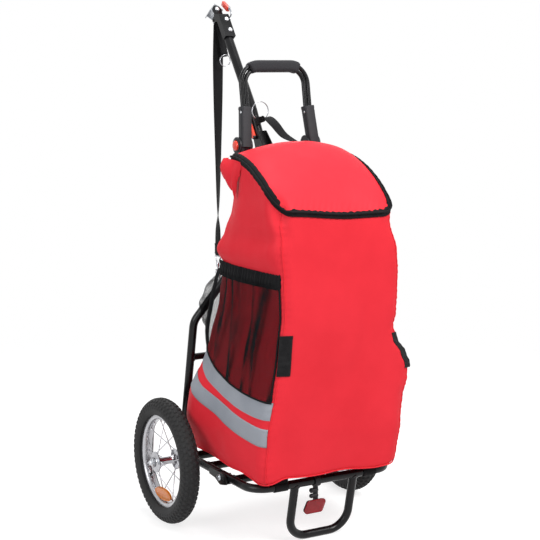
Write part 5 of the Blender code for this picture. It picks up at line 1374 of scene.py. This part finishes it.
def makeHitch():
    keepPiece("hitchBracket", fromNode("hitch_bracket", 0.0004), "tow_bar", "framePaint", ["hitch_bracket"],
              sharp=32, flat=True)
    # the jaw's box, with a web between its side walls
    bm = fromNode("hitch_jaw", 0.0004)
    jawFrame = hitchFrame @ shift(0, 0.0085, 0.030) @ turn(45, "Y")
    join(bm, block((0.0228, 0.0020, 0.0258), 0.0004), jawFrame @ shift(0, 0.0244, 0))
    keepPiece("hitchJaw", bm, "jaw", "steel", ["hitch_jaw"], sharp=30, flat=True)
    for bolt in hitch["bolts"]:
        hitchBolt(*bolt)
    bm = fromNode("tow_pivot_bolt", 0.0004)
    keepPiece("towPivotBolt", bm, bodyOf("tow_pivot_bolt"), "zinc", ["tow_pivot_bolt"], sharp=34, flat=True)
    # the latch's rod, with a red cap on its end
    keepPiece("latchRod", fromNode("hitch_latch", 0.0), "latch", "steel", ["hitch_latch"], sharp=40)
    cap = block((0.0084, 0.0130, 0.0335), 0.0022)
    moved(cap, hitchFrame @ shift(0.0166, -0.0092, 0.0275) @ turn(-25, "X"))
    keepPiece("latchCap", cap, "latch", "buttonRed", sharp=34)


makeTowBar()
makeHitch()

# rings, ring tab and the strap that holds the bag's top


def hoopFrom(node, name, body):
    # a split ring at the CAD ring's own place and size
    wire = 0.0013
    low, high = (Vector(corner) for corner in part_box(node))
    centre = (low + high) / 2
    arms = [vert.co - centre for vert in frame["nodes"][node].data.vertices]
    first = max(arms, key=lambda arm: arm.length)
    second = max(arms, key=lambda arm: arm.cross(first).length)
    normal = first.cross(second).normalized()
    lift = normal * wire * 0.62
    winding = hoop(centre, normal, first.length - wire, wire * 0.62, 72, 12)
    bm = join(bmesh.new(), winding, Matrix.Translation(lift), Matrix.Translation(-lift))
    return keepPiece(name, bm, body, "chrome", [node], sharp=60)


hoopFrom("hanger_ring", "hangerRing", bodyOf("hanger_ring"))
hoopFrom("safety_ring", "safetyRing", "strap")


def makeRingTab():
    anchor = Vector((0, 0.24456, 1.17236))
    start, end = anchor + Vector((0.001, -0.003, -0.009)), anchor + Vector((0.013, -0.010, -0.088))
    points = [start.lerp(end, i / 16) + Vector((0, 0.0012 * math.sin(math.pi * i / 16), 0)) for i in range(17)]
    bm = swept(points, strapOutline(0.0188, 0.002), xAxis)
    along = (end - start).normalized()
    join(bm, block((0.0180, 0.0034, 0.009), 0.0008), Matrix.Translation(end - along * 0.008 + Vector((0, 0.0002, 0))))
    # the tab hangs from the pin beside the strap, and joins no body
    tab = keepPiece("ringTab", bm, None, "webbing", ["ring_tab"], sharp=50)
    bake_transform(tab)


makeRingTab()


def makeHanger():
    top, bar = towFrame @ Vector((0, 0, 0.058)), towFrame @ Vector((0, -0.011, 0.088))
    y = bar.y - 0.0074 - 0.0013 - 0.001 - 0.0005
    z = top.z + 0.026
    points = [
        Vector((-0.010, y - 0.001, z)), Vector((0.004, y - 0.0025, z + 0.004)), Vector((0.015, y - 0.010, z + 0.008)),
        Vector((0.021, y - 0.034, z - 0.006)), Vector((0.030, y - 0.062, z - 0.031)),
        Vector((0.048, bagBack(0.88) + 0.012, 0.884)), Vector((0.059, bagBack(0.86) + 0.008, 0.862)),
        Vector((0.062, bagBack(0.80) + 0.0015, 0.800)),
    ]
    turns = smoothValues([0, 0, 0.1, 0.4, 0.3, -0.2, 0, 0], 6)
    bm = swept(smoothPath(points, 6), strapOutline(0.019, 0.002), xAxis, turns,
               scaleAt=lambda share: 1.0 + 0.22 * hill(share, 0.32, 0.16))
    join(bm, block((0.0195, 0.0032, 0.030), 0.001), shift(0.062, bagBack(0.81) + 0.0012, 0.812))
    keepPiece("bagHanger", bm, bodyOf("bag_hanger"), "webbing", ["bag_hanger"], sharp=50)


makeHanger()
print("tow bar, hitch and straps")

# bag

bag = {
    # height, half width, bow of the sides
    "widths": (
        (0.168, 0.163, 0.008), (0.25, 0.170, 0.020), (0.33, 0.170, 0.022), (0.42, 0.158, 0.022),
        (0.52, 0.147, 0.018), (0.62, 0.149, 0.010), (0.70, 0.148, 0.004), (0.76, 0.146, 0.002), (0.862, 0.145, 0),
    ),
    "half": 0.150, "deep": 0.300, "corner": 0.026, "wall": 0.0025, "rimFront": 0.742, "rimBack": 0.862, "crown": 0.030,
    # how far the load pushes the corners out: height, metres
    "rightBulge": (
        (0.15, 0.004), (0.20, 0.012), (0.26, 0.018), (0.32, 0.024), (0.365, 0.041), (0.395, 0.046), (0.42, 0.038),
        (0.455, 0.018), (0.48, 0.014), (0.52, 0.022), (0.56, 0.025), (0.61, 0.026), (0.655, 0.021), (0.72, 0.008),
        (0.75, 0.012), (0.80, 0.006), (0.86, 0.0),
    ),
    "leftBulge": (
        (0.15, 0.014), (0.19, 0.013), (0.26, 0.002), (0.354, -0.014), (0.45, -0.017), (0.525, -0.019),
        (0.60, -0.017), (0.68, -0.008), (0.72, 0.001), (0.754, 0.004), (0.86, 0.0),
    ),
    # how far the back corners sink in: height, metres
    "backSink": (
        (0.15, 0.008), (0.20, 0.004), (0.26, 0.0), (0.30, 0.0), (0.45, 0.0), (0.55, 0.004), (0.61, 0.014),
        (0.650, 0.0), (0.69, 0.010), (0.74, 0.020), (0.80, 0.020), (0.835, 0.010), (0.862, 0.004), (0.90, 0.0),
    ),
    # the load settles low and behind, more on the left: depth, spread, push of each side
    "settled": (0.84, 0.20), "settledLeft": 0.033, "settledRight": 0.010,
    # the shoulder above the pockets' band and the waist under it: height, spread, metres
    "shoulder": (0.655, 0.030, 0.0085), "waist": (0.600, 0.022, 0.003),
    # the mouth's left front corner stands this much higher than the right one
    "raised": 0.013,
    "columns": 208, "rows": 132, "floorRows": 14, "floorEdge": 0.010,
}
bagMiddle = Vector((0, -0.14, 0.45))


def fromMiddle(face):
    # how far a face of the bag looks away from its middle
    return (face.calc_center_median() - bagMiddle).dot(face.normal)


def widthAt(height, depth):
    half, bow = fromTable(bag["widths"], height, clamped)
    return half + bow * math.sin(math.pi * clamped(depth) ** 0.85)


def rimAt(depth):
    before = max(0.0, 1 - depth)
    return bag["rimFront"] + (bag["rimBack"] - bag["rimFront"]) * (1 - before**2.6)


def ripple(point, scale, seed=0.0):
    return noise.noise(Vector(point) * scale + Vector((seed, seed * 1.7, seed * 0.6)))


def crease(point, scale, seed):
    # a folded noise: narrow raised lines between broad hollows
    return 1 - 2 * abs(ripple(point, scale, seed))


def bagSkin(across, depth, height, lift=0.0, folds=1.0):
    # a point of the bag's cloth: across runs from -1 to 1 and depth from 0 at the front to 1 at the back
    front, back = layout["bagFront"], bagBack(height)
    half = widthAt(height, depth)
    x, y = across * half, front + (back - front) * depth
    onLeft = across < 0
    edge = abs(across)
    inFront = 1 - eased(depth * 1.15)
    bulge = fromTable(bag["rightBulge" if across > 0 else "leftBulge"], height)[0]
    x += math.copysign(1, across) * bulge * eased((edge - 0.35) / 0.65) * (0.25 + 0.75 * inFront)
    # the load settles between two heights, and less above and below them
    offCentre = max(0.0, height - 0.312) / 0.060 + max(0.0, 0.267 - height) / 0.070
    low = hill(offCentre, 0, 1) * hill(depth, *bag["settled"])
    push = bag["settledLeft" if onLeft else "settledRight"]
    x += math.copysign(push * low * eased((edge - 0.5) / 0.5), across)
    sideShare = eased((edge - 0.6) / 0.4) * eased(depth / 0.15)
    (high, highSpread, swell), (waist, waistSpread, pull) = bag["shoulder"], bag["waist"]
    shoulder = swell * hill(height, high, highSpread) - pull * hill(height, waist, waistSpread)
    x += math.copysign(shoulder * sideShare, across)
    # sunken back corners, and rounder corners at the mouth
    corner = eased((edge - 0.45) / 0.55) * eased((depth - 0.62) / 0.38)
    sink = fromTable(bag["backSink"], height)[0] * corner
    x -= math.copysign(sink * 0.55, across)
    y -= sink
    below = rimAt(depth) - height
    mouth = hill(below, 0, 0.055) * eased((edge - 0.72) / 0.28) * (1 - eased(depth / 0.20))
    x -= math.copysign((0.018 if onLeft else 0.001) * mouth, across)
    y += (0.016 if onLeft else 0.008) * mouth
    # the front panel crowns between its seams
    panel = (1 - edge**2) * (1 - eased(depth / 0.08))
    y -= panel * (0.0045 * math.sin(math.pi * clamped((height - 0.16) / 0.57)) ** 0.7)
    raised = bag["raised"] * eased((0.3 - across) / 1.2) * (1 - eased(depth / 0.45)) * hill(max(0.0, below), 0, 0.15)
    spot = Vector((x, y, height + raised))
    # the cloth faces sideways near its edges, and forwards or backwards near the panels
    aside = math.copysign(eased((edge - 0.80) / 0.20), across)
    out = Vector((aside, -(1 - eased(depth / 0.12)) + eased((depth - 0.88) / 0.12), 0))
    if out.length < 0.2:
        out = Vector((math.copysign(1, across), 0, 0))
    out.normalize()
    if folds:
        move = 0.0026 * ripple(spot, 7.0, 3.0) + 0.0010 * ripple((x * 2.2, y * 2.2, height), 14.0, 9.0)
        # slanting creases low on the sides and at the waist, softer in front
        slack = 0.4 + 0.6 * sideShare
        slack *= 0.35 + hill(height, 0.23, 0.08) + 0.8 * hill(height, 0.70, 0.06)
        slanted = (x * 0.6 + height * 0.55, y * 0.8 + height * 0.5, height * 0.5)
        move += 0.0017 * slack * crease(slanted, 13.0, 5.0)
        # small puckers beside the corner seams and under the zip
        nearSeam = hill(abs(edge - 0.93) + abs(depth - 0.035), 0, 0.10)
        move += 0.0007 * nearSeam * math.sin(height * 460 + 3 * ripple(spot, 20.0))
        nearZip = hill(max(below, 0.012), 0.012, 0.016)
        move += 0.0005 * nearZip * math.sin((x - y) * 400 + 3 * ripple(spot, 24.0))
        # dents at the right edge, where the cloth hangs free above the load
        dent = hill(height, 0.488, 0.016) * eased((across - 0.86) / 0.14) * inFront
        move -= 0.004 * dent
        spot += out * move * folds
        # the bottom edge hangs a little lower on the right and waves
        lowShare = eased((0.24 - height) / 0.07)
        hang = 0.007 * eased((across + 0.5) / 1.5) + 0.0025 * math.sin(x * 38 + y * 30)
        hang += 0.013 * eased((-across - 0.70) / 0.30) * (1 - eased(depth / 0.30))
        spot.z -= lowShare * hang
    return spot + out * lift


def cornerInset(depth):
    # how far the rounded corner stands in, as a share of the half width
    corner = bag["corner"]
    reach = min(depth, 1 - depth) * bag["deep"]
    return (corner - math.sqrt(max(0.0, corner**2 - max(0.0, corner - reach) ** 2))) / bag["half"]


def bagPlan():
    # the bag's outline from the middle of its back, clockwise from above, as (across, depth)
    half, deep = bag["half"], bag["deep"]
    corners = [(-half, deep, 0), (-half, 0, 0), (half, 0, 0), (half, deep, 0)]
    path = rounded([(0, deep, 0)] + corners + [(0, deep, 0)], bag["corner"], 9)
    path = divided(path, 0.001)
    total = pathLength(path)
    found, walked, wanted = [], 0.0, 0
    count = bag["columns"]
    for a, b in zip(path, path[1:]):
        length = (b - a).length
        while wanted <= count and wanted * total / count <= walked + length + 1e-9:
            share = clamped((wanted * total / count - walked) / max(length, 1e-9))
            point = a.lerp(b, share)
            found.append((point.x / half, point.y / deep))
            wanted += 1
        walked += length
    while len(found) <= count:
        found.append(found[0])
    found[-1] = found[0]
    return found, total


plan, planLength = bagPlan()


def splitAtFold(names, bm, finish, replaces=((), ()), second=None):
    # one sewn piece as two, because the platform folds up under the bag; both keep the whole one's normals
    bm.normal_update()
    layer = bm.verts.layers.float_vector.new("whole")
    for vert in bm.verts:
        vert[layer] = vert.normal
    pieces = []
    for half, (name, node) in enumerate(zip(names, replaces)):
        part = bm.copy()
        bmesh.ops.bisect_plane(
            part, geom=part.verts[:] + part.edges[:] + part.faces[:], dist=1e-7,
            plane_co=(0, 0, layout["bagSplit"]), plane_no=(0, 0, 1), clear_inner=half == 0, clear_outer=half == 1,
        )
        cutEdges = [edge for edge in part.edges if edge.is_boundary]
        if second:
            bmesh.ops.bridge_loops(part, edges=cutEdges)
        else:
            bmesh.ops.holes_fill(part, edges=cutEdges, sides=0)
        partLayer = part.verts.layers.float_vector["whole"]
        normals = [vert[partLayer].normalized() for vert in part.verts]
        part.verts.layers.float_vector.remove(partLayer)
        piece = keepPiece(name, part, "frame", finish, node, sharp=70)
        if second:
            piece.data.materials.append(materials[second])
        piece.data.normals_split_custom_set_from_vertices(normals)
        if half == 1:
            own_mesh(piece)
        pieces.append(piece)
    bm.free()
    return pieces


def makeBagBody():
    rows, columns = bag["rows"], bag["columns"]
    bottom = layout["bagBottom"]
    # the floor's rows run from its middle to a rounded edge, which has the last part of them
    under, edge = bag["floorRows"], bag["floorEdge"]
    flatShare, roundShare, rounding = 0.7, 0.3, edge / bag["half"]

    def place(u, v):
        across, depth = plan[round(u * columns)]
        row = round(v * rows)
        if row > under:
            start = bottom + edge
            share = (row - under) / (rows - under)
            return bagSkin(across, depth, start + (rimAt(depth) - start) * share)
        share = row / under
        if share < flatShare:
            spread, lift = share / flatShare * (1 - rounding), 0.0
        else:
            angle = (share - flatShare) / roundShare * math.pi / 2
            spread, lift = 1 - rounding * (1 - math.sin(angle)), edge * (1 - math.cos(angle))
        point = bagSkin(across * spread, 0.5 + (depth - 0.5) * spread, bottom + lift, folds=0.0)
        folds = bagSkin(across, depth, bottom + lift) - bagSkin(across, depth, bottom + lift, folds=0.0)
        sag = 0.004 * math.cos(point.y * 60) * (1 - share)
        return point + folds * spread**4 - Vector((0, 0, sag))

    bm = surface(columns, rows, place, (planLength, 0.69))
    bmesh.ops.remove_doubles(bm, verts=bm.verts, dist=1e-5)
    walled(turnedOut(bm, fromMiddle), bag["wall"])
    for face in bm.faces:
        # the inner side is the lining
        centre = face.calc_center_median()
        middle = Vector((bagMiddle.x, bagMiddle.y, min(0.6, max(0.3, centre.z))))
        face.material_index = 1 if (centre - middle).dot(face.normal) < 0 else 0
    return splitAtFold(
        ("bagUpper", "bagLower"), bm, "redFabric", (["bag_upper"], ["bag_lower"]), second="lining"
    )


bagUpper, bagLower = makeBagBody()
upperArea = sum(face.area for face in bagUpper.data.polygons) / 2
lowerArea = sum(face.area for face in bagLower.data.polygons) / 2
print("bag body", round(upperArea, 3), round(lowerArea, 3))


lid = {"edge": 0.0006, "thickness": 0.0024, "rows": 84, "columns": 80, "tape": 0.0085}


def lidPoint(u, v):
    # u runs from the left edge to the right one, v from the front to the back
    across = 2 * u - 1
    atEdge = max(abs(across) ** 10, (1 - v) ** 14, v**14)
    point = bagSkin(across * (1 - cornerInset(v)), v, rimAt(v), folds=atEdge)
    x, y = point.x, point.y
    puff = 1 - abs(across) ** 2.4
    swell = bag["crown"] * puff * math.sin(math.pi * clamped(v) ** 1.5) ** 0.8
    # the cloth rises quickly from its sewn edge
    roll = 0.0065 * (1 - abs(across) ** 14) * (1 - (1 - v) ** 26) * (1 - v**18)
    near = max(abs(across) ** 10, (1 - v) ** 14)
    pucker = 0.0002 * near * math.sin((x - y) * 420 + 3 * ripple((x, y, 0), 25.0))
    wave = 0.0028 * ripple((x, y * 1.2, 0.3), 9.0, 4.0) * puff
    wave += 0.0011 * crease((x, y * 1.6, 0.3), 12.0, 7.0) * puff
    z = point.z + swell + roll + pucker + wave * (1 - (1 - v) ** 8)
    return Vector((x, y, z + lid["edge"]))


def makeLid():
    def place(u, w):
        # rows lie closer together at the front and the back, where the corners turn
        return lidPoint(u, w - 0.9 * math.sin(math.tau * w) / math.tau)

    bm = surface(lid["columns"], lid["rows"], place, (0.30, 0.30))
    walled(turnedOut(bm, lambda face: face.normal.z), lid["thickness"])
    return keepPiece("bagLid", bm, "lid", "redFabric", ["bag_lid"], sharp=60)


bagLid = makeLid()


def zipRun():
    # the part of the mouth that the zip closes: not its back edge
    inFront = [index for index, (_, depth) in enumerate(plan) if depth < 0.93]
    return plan[inFront[0]:inFront[-1] + 1]


def makeZip():
    chosen = zipRun()
    count = len(chosen) - 1
    tape = lid["tape"]

    def onBody(u, v):
        across, depth = chosen[round(u * count)]
        lower = tape * (1 - v)
        wave = 0.0004 * math.sin(u * count * 2.1)
        return bagSkin(across, depth, rimAt(depth) + 0.0015 - lower, 0.0020 + wave)

    bm = cleaned(walled(surface(count, 3, onBody, (0.9, tape)), 0.0010))
    keepPiece("zipTapeBody", bm, "frame", "blackElastic", sharp=50)
    rim = [bagSkin(across, depth, rimAt(depth)).y for across, depth in plan]
    middle = (min(rim) + max(rim)) / 2

    def onLid(u, v):
        index = round(u * count)
        across, depth = chosen[index]
        point = bagSkin(across, depth, rimAt(depth))
        # straight in from a side or the front, and slanting at a corner
        x = 0 if abs(across) <= 0.70 else -point.x
        y = 0 if abs(across) > 0.97 else middle - point.y
        inward = Vector((x, y, 0)).normalized()
        wave = 0.0004 * math.sin(index * 2.3)
        top = point + inward * (tape * v)
        rise = 0.0085 * (1 - math.exp(-v * 1.6))
        return Vector((top.x, top.y, top.z + lid["edge"] + lid["thickness"] * 0.4 + 0.0014 + rise + wave))

    bm = cleaned(walled(surface(count, 4, onLid, (0.9, tape)), 0.0010))
    keepPiece("zipTapeLid", bm, "lid", "blackElastic", sharp=50)
    # the closed coil runs along the edge between the two tapes
    path = [bagSkin(across, depth, rimAt(depth) + 0.0016, 0.0026) for across, depth in chosen]
    coil = swept(path, circle(0.0026, 10), scaleAt=lambda share: 1 + 0.10 * math.sin(share * count * math.pi))
    keepPiece("zipCoil", coil, "frame", "blackElastic", sharp=60)
    # slider and pull at the right end
    across, depth = chosen[-6]
    spot = bagSkin(across, depth, rimAt(depth) - 0.001, 0.0030)
    bm = moved(block((0.0042, 0.0130, 0.0085), 0.0012), Matrix.Translation(spot))
    outline = [(-0.0028, 0), (0.0028, 0), (0.0036, -0.022), (0.0022, -0.026), (-0.0022, -0.026), (-0.0036, -0.022)]
    join(bm, plate(outline, 0.0014, 0.0004), Matrix.Translation(spot + Vector((0.0032, 0, 0.0015))) @ sideways)
    keepPiece("zipSlider", bm, "frame", "zinc", sharp=34)


makeZip()
print("lid and zip")

# seams and trim of the bag

trim = {"piping": 0.0013, "bottomPiping": 0.0015, "cornerAcross": 0.293}


def cornerPoints(across, depth):
    low = layout["bagBottom"] + 0.006
    high = rimAt(depth) - 0.004
    return [bagSkin(across, depth, low + (high - low) * i / 110, 0.0004) for i in range(111)]


def makeSeams():
    names = {(-1, 0): "frontLeft", (1, 0): "frontRight", (-1, 1): "backLeft", (1, 1): "backRight"}
    # the middle of a rounded corner, inwards from the corner of its square
    cut = trim["cornerAcross"] * bag["corner"]
    for (s, end), name in names.items():
        across, depth = s * (1 - cut / bag["half"]), (cut / bag["deep"] if end == 0 else 1 - cut / bag["deep"])
        bm = swept(cornerPoints(across, depth), circle(trim["piping"], 8),
                   scaleAt=lambda share: 1 + 0.16 * math.sin(share * 300))
        splitAtFold((name + "SeamUpper", name + "SeamLower"), bm, "redFabric")
    ring = [bagSkin(across, depth, layout["bagBottom"] + 0.0048, 0.0002) for across, depth in plan]

    def place(u, v):
        index = round(v * (len(ring) - 1)) % (len(ring) - 1)
        point, before, after = ring[index], ring[index - 1], ring[(index + 1) % (len(ring) - 1)]
        along = (after - before).normalized()
        side = along.cross(zAxis).normalized()
        angle = u * math.tau
        return point + (side * math.cos(angle) + zAxis * math.sin(angle)) * trim["bottomPiping"]

    bm = cleaned(surface(8, len(ring) - 1, place))
    piece = keepPiece("bottomPiping", bm, "frame", "redFabric", sharp=60)
    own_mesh(piece)


makeSeams()


def skinPatch(bottom, top, acrossAt, depthAt, columns, rows, thickness, lift):
    # a patch of cloth laid on the bag between two lines of heights
    def place(u, v):
        height = bottom(u) + (top(u) - bottom(u)) * v
        return bagSkin(acrossAt(u, v), depthAt(u, v), height, lift)

    return walled(turnedOut(surface(columns, rows, place, (0.30, 0.04)), fromMiddle), thickness)


stripe = {
    # the lower and upper line of each stripe: its height in front, its rise and the power of the rise
    "upper": ((0.3050, 0.090, 1.85), (0.3440, 0.076, 1.9)),
    "lower": ((0.2455, 0.094, 1.6), (0.2860, 0.0835, 1.5)),
    "start": 0.030, "run": 0.950, "thickness": 0.0007, "lift": 0.0009,
}


def makeStripe(lines, s):
    (low, lowRise, lowPower), (high, highRise, highPower) = lines

    def depthAt(u, v):
        return stripe["start"] + stripe["run"] * u

    def acrossAt(u, v):
        return s * (1 - cornerInset(depthAt(u, v)))

    return skinPatch(lambda u: low + lowRise * u**lowPower, lambda u: high + highRise * u**highPower,
                     acrossAt, depthAt, 64, 8, stripe["thickness"], stripe["lift"])


def makeStripes():
    for label, s in sides:
        keepPiece(label + "StripeUpper", makeStripe(stripe["upper"], s), "frame", "reflectiveTape", sharp=60)
        names = (label + "StripeLower", label + "StripeLowerFold")
        splitAtFold(names, makeStripe(stripe["lower"], s), "reflectiveTape")


makeStripes()


velcro = {
    "thickness": 0.0016, "lift": 0.0017,
    # name, both ends across at the top, both ends at the bottom, lower and upper height
    "patches": (
        ("leftVelcro", (-1.0, -0.835), (-0.980, -0.812), 0.402, 0.489),
        ("rightVelcro", (0.885, 0.962), (0.905, 0.985), 0.384, 0.470),
    ),
}


def makeVelcro():
    for name, topAcross, lowAcross, low, high in velcro["patches"]:
        def acrossAt(u, v):
            first = lowAcross[0] + (topAcross[0] - lowAcross[0]) * v
            second = lowAcross[1] + (topAcross[1] - lowAcross[1]) * v
            return first + (second - first) * u

        def depthAt(u, v):
            return 0.026 * eased((abs(acrossAt(u, v)) - 0.83) / 0.17)

        bm = skinPatch(lambda u: low, lambda u: high, acrossAt, depthAt, 10, 26, velcro["thickness"], velcro["lift"])
        keepPiece(name, bm, "frame", "hookTape", sharp=50)


makeVelcro()

# mesh pockets

pocket = {
    "front": -0.2790, "lowFront": 0.342, "lowBack": 0.420, "highFront": 0.600, "highBack": 0.604,
    "bandLow": 0.588, "bandHigh": 0.621, "folds": 0.0042,
    # how far the net swells out along the middle and behind, on the left and on the right
    "swell": {-1: 0.020, 1: 0.020 * 0.55}, "swellBehind": {-1: 0.018, 1: 0.0}, "startLater": {-1: 0.0, 1: 0.034},
    # the slack lobe on the left: between these shares of the height, and how far out
    "slackLow": 0.22, "slackHigh": 0.94, "slackOut": 0.027,
}


def pocketPlace(s, share, rise, lift=0.0, folds=1.0):
    low = pocket["lowFront"] + (pocket["lowBack"] - pocket["lowFront"]) * share**1.7
    high = pocket["highFront"] + (pocket["highBack"] - pocket["highFront"]) * share
    height = low + (high - low) * rise
    front, back = pocket["front"] + pocket["startLater"][s], bagBack(height) - 0.010 - 0.009 * rise**2
    y = front + (back - front) * share
    depth = (y - layout["bagFront"]) / (bagBack(height) - layout["bagFront"])
    skin = bagSkin(s * (1 - cornerInset(depth)), depth, height)
    hump = math.sin(math.pi * share) ** 0.6
    swell = pocket["swell"][s] * hump * math.sin(math.pi * min(1.0, rise * 0.66))
    # slack net hangs out behind
    behind = hill(share, 0.90, 0.14) * math.sin(math.pi * min(1.0, rise)) ** 0.7
    swell += pocket["swellBehind"][s] * behind
    wave = math.sin(share * 42 + 5 * ripple((share * 3, rise * 1.2, s), 1.0, 2.0))
    wave += 0.6 * math.sin(share * 71 + rise * 5 + 4 * ripple((share * 4, rise, s), 1.0, 6.0))
    gather = (0.25 + 0.75 * rise**1.5) * math.sin(math.pi * clamped(rise * 0.97 + 0.02)) ** 0.35
    swell += pocket["folds"] * 0.5 * (wave + 0.6) * gather * hump * folds
    outward = s * (0.0012 + max(0.0, swell) + lift)
    return Vector((skin.x + outward, y + 0.006 * behind, height))


def makeSlack(s):
    # a flat lobe of net that hangs out past the rear binding
    def place(u, v):
        base = pocketPlace(s, 0.996, pocket["slackLow"] + (pocket["slackHigh"] - pocket["slackLow"]) * v)
        out = pocket["slackOut"] * math.sin(math.pi * v) ** 0.8
        out *= 1 + 0.10 * math.sin(v * 17)
        angle = math.pi * u
        return base + Vector((s * out * math.sin(angle), 0.002 + 0.25 * out * (1 - math.cos(angle)), 0))

    bm = surface(28, 56, place, (0.06, 0.16))
    bmesh.ops.recalc_face_normals(bm, faces=bm.faces)
    return keepPiece("leftPocketSlack", bm, "frame", "blackNet", sharp=70)


def makePocket(label, s):
    bm = turnedOut(surface(120, 64, lambda u, v: pocketPlace(s, u, v), (0.42, 0.27)), lambda face: face.normal.x * s)
    net = keepPiece(label + "PocketNet", bm, "frame", "blackNet", [label + "_mesh_pocket"], sharp=70)

    # gathered elastic in a casing along the top edge
    def band(u, v):
        angle = v * math.tau
        low, high = pocket["bandLow"] + 0.003 * u, pocket["bandHigh"] + 0.006 * u
        # the upper edge is ruffled more than the lower one
        ruffle = math.sin(u * 190 + 3 * math.sin(u * 23)) + 0.5 * math.sin(u * 331)
        reach = 1 + 0.045 * ruffle * (1 if math.sin(angle) > 0 else 0.4)
        height = (low + high) / 2 + (high - low) / 2 * math.sin(angle) * reach
        base = pocketPlace(s, u, 1.0, folds=0.0)
        depth = (base.y - layout["bagFront"]) / (bagBack(height) - layout["bagFront"])
        skin = bagSkin(s * (1 - cornerInset(depth)), depth, height)
        puff = 0.0030 + 0.0012 * ruffle * (0.35 + 0.65 * abs(math.sin(angle)))
        return Vector((skin.x + s * (0.0026 + puff * math.cos(angle)), base.y, height))

    bm = surface(300, 16, band, (0.30, 0.07))
    bmesh.ops.remove_doubles(bm, verts=bm.verts, dist=1e-6)
    bmesh.ops.holes_fill(bm, edges=[e for e in bm.edges if e.is_boundary], sides=0)
    bmesh.ops.recalc_face_normals(bm, faces=bm.faces)
    topBand = keepPiece(label + "PocketBand", bm, "frame", "blackElastic", sharp=60)

    # bindings down the front edge, along the stripe and up the rear edge
    front = [pocketPlace(s, 0.004, 1 - i / 40, 0.0008) for i in range(41)]
    bottom = [pocketPlace(s, i / 60, 0.004, 0.0008) for i in range(61)]
    rear = [pocketPlace(s, 0.996, i / 50, 0.0008) for i in range(51)]
    bm = swept(front, strapOutline(0.0050, 0.0022), yAxis)
    join(bm, swept(bottom, strapOutline(0.0045, 0.0020), zAxis))
    join(bm, swept(rear, [(a * 2.3, b * 1.6) for a, b in strapOutline(0.0055, 0.0026)], yAxis,
                   scaleAt=lambda share: 1 + 0.22 * math.sin(share * 150)))
    binding = keepPiece(label + "PocketBinding", bm, "frame", "blackElastic", sharp=60)
    if s < 0:
        makeSlack(s)


for label, side in sides:
    makePocket(label, side)
print("pockets")

# folded ears of cloth at the lid's back corners


ear = {
    # share of the way back along the zip, how far the lobe hangs
    "hang": ((0.0, 0.003), (0.16, 0.034), (0.36, 0.084), (0.50, 0.070), (0.72, 0.046), (0.90, 0.036), (1.0, 0.018)),
    "swell": 0.018, "start": 0.66, "run": 0.34, "thickness": 0.0014,
}


def makeEars():
    for label, s in sides:
        def place(u, v):
            # u runs backwards along the zip, v hangs down from it
            depth = ear["start"] + ear["run"] * u
            hang = fromTable(ear["hang"], u)[0]
            top = bagSkin(s, min(depth, 0.90), rimAt(depth) - 0.003, folds=0.0)
            y = top.y + (bagBack(rimAt(depth)) + 0.004 - top.y) * eased((u - 0.4) / 0.6)
            swell = ear["swell"] * math.sin(math.pi * (0.10 + 0.72 * v))
            swell *= math.sin(math.pi * min(1, u * 0.80 + 0.02)) ** 1.3
            fold = 0.006 * hill(u - 0.40 - 0.10 * v, 0, 0.07) * v**0.6
            ragged = 0.0010 * math.sin(u * 90) * v**4
            x = top.x + s * (0.0018 + swell - fold * 0.8 + 0.004 * eased((u - 0.5) / 0.5))
            x -= s * 0.014 * eased((u - 0.90) / 0.10)
            return Vector((x, y + ragged, top.z - hang * v + ragged))

        bm = turnedOut(surface(52, 26, place, (0.14, 0.07)), lambda face: face.normal.x * s)
        walled(bm, ear["thickness"])
        keepPiece(label + "Ear", bm, "frame", "redFabric", sharp=60)


makeEars()
print("bag trim")

# CAD nodes that keep their own solid

nodeFinish = {
    "frame_paint": "framePaint", "tyre": "rubber", "rim_chrome": "alloy", "spoke_chrome": "chrome",
    "ring_chrome": "chrome", "zinc_steel": "zinc", "jaw_steel": "steel", "hinge_plastic": "plastic",
    "grip_foam": "foam", "red_plastic": "buttonRed", "amber_reflector": "amberLens",
    "dark_red_reflector": "redLens", "red_fabric": "redFabric", "mesh_fabric": "blackNet", "webbing": "webbing",
}
for entry in frame["record"]["subparts"]:
    node = frame["nodes"][entry["node"]]
    node.data.materials.clear()
    node.data.materials.append(materials[nodeFinish[entry["material_slot"]]])
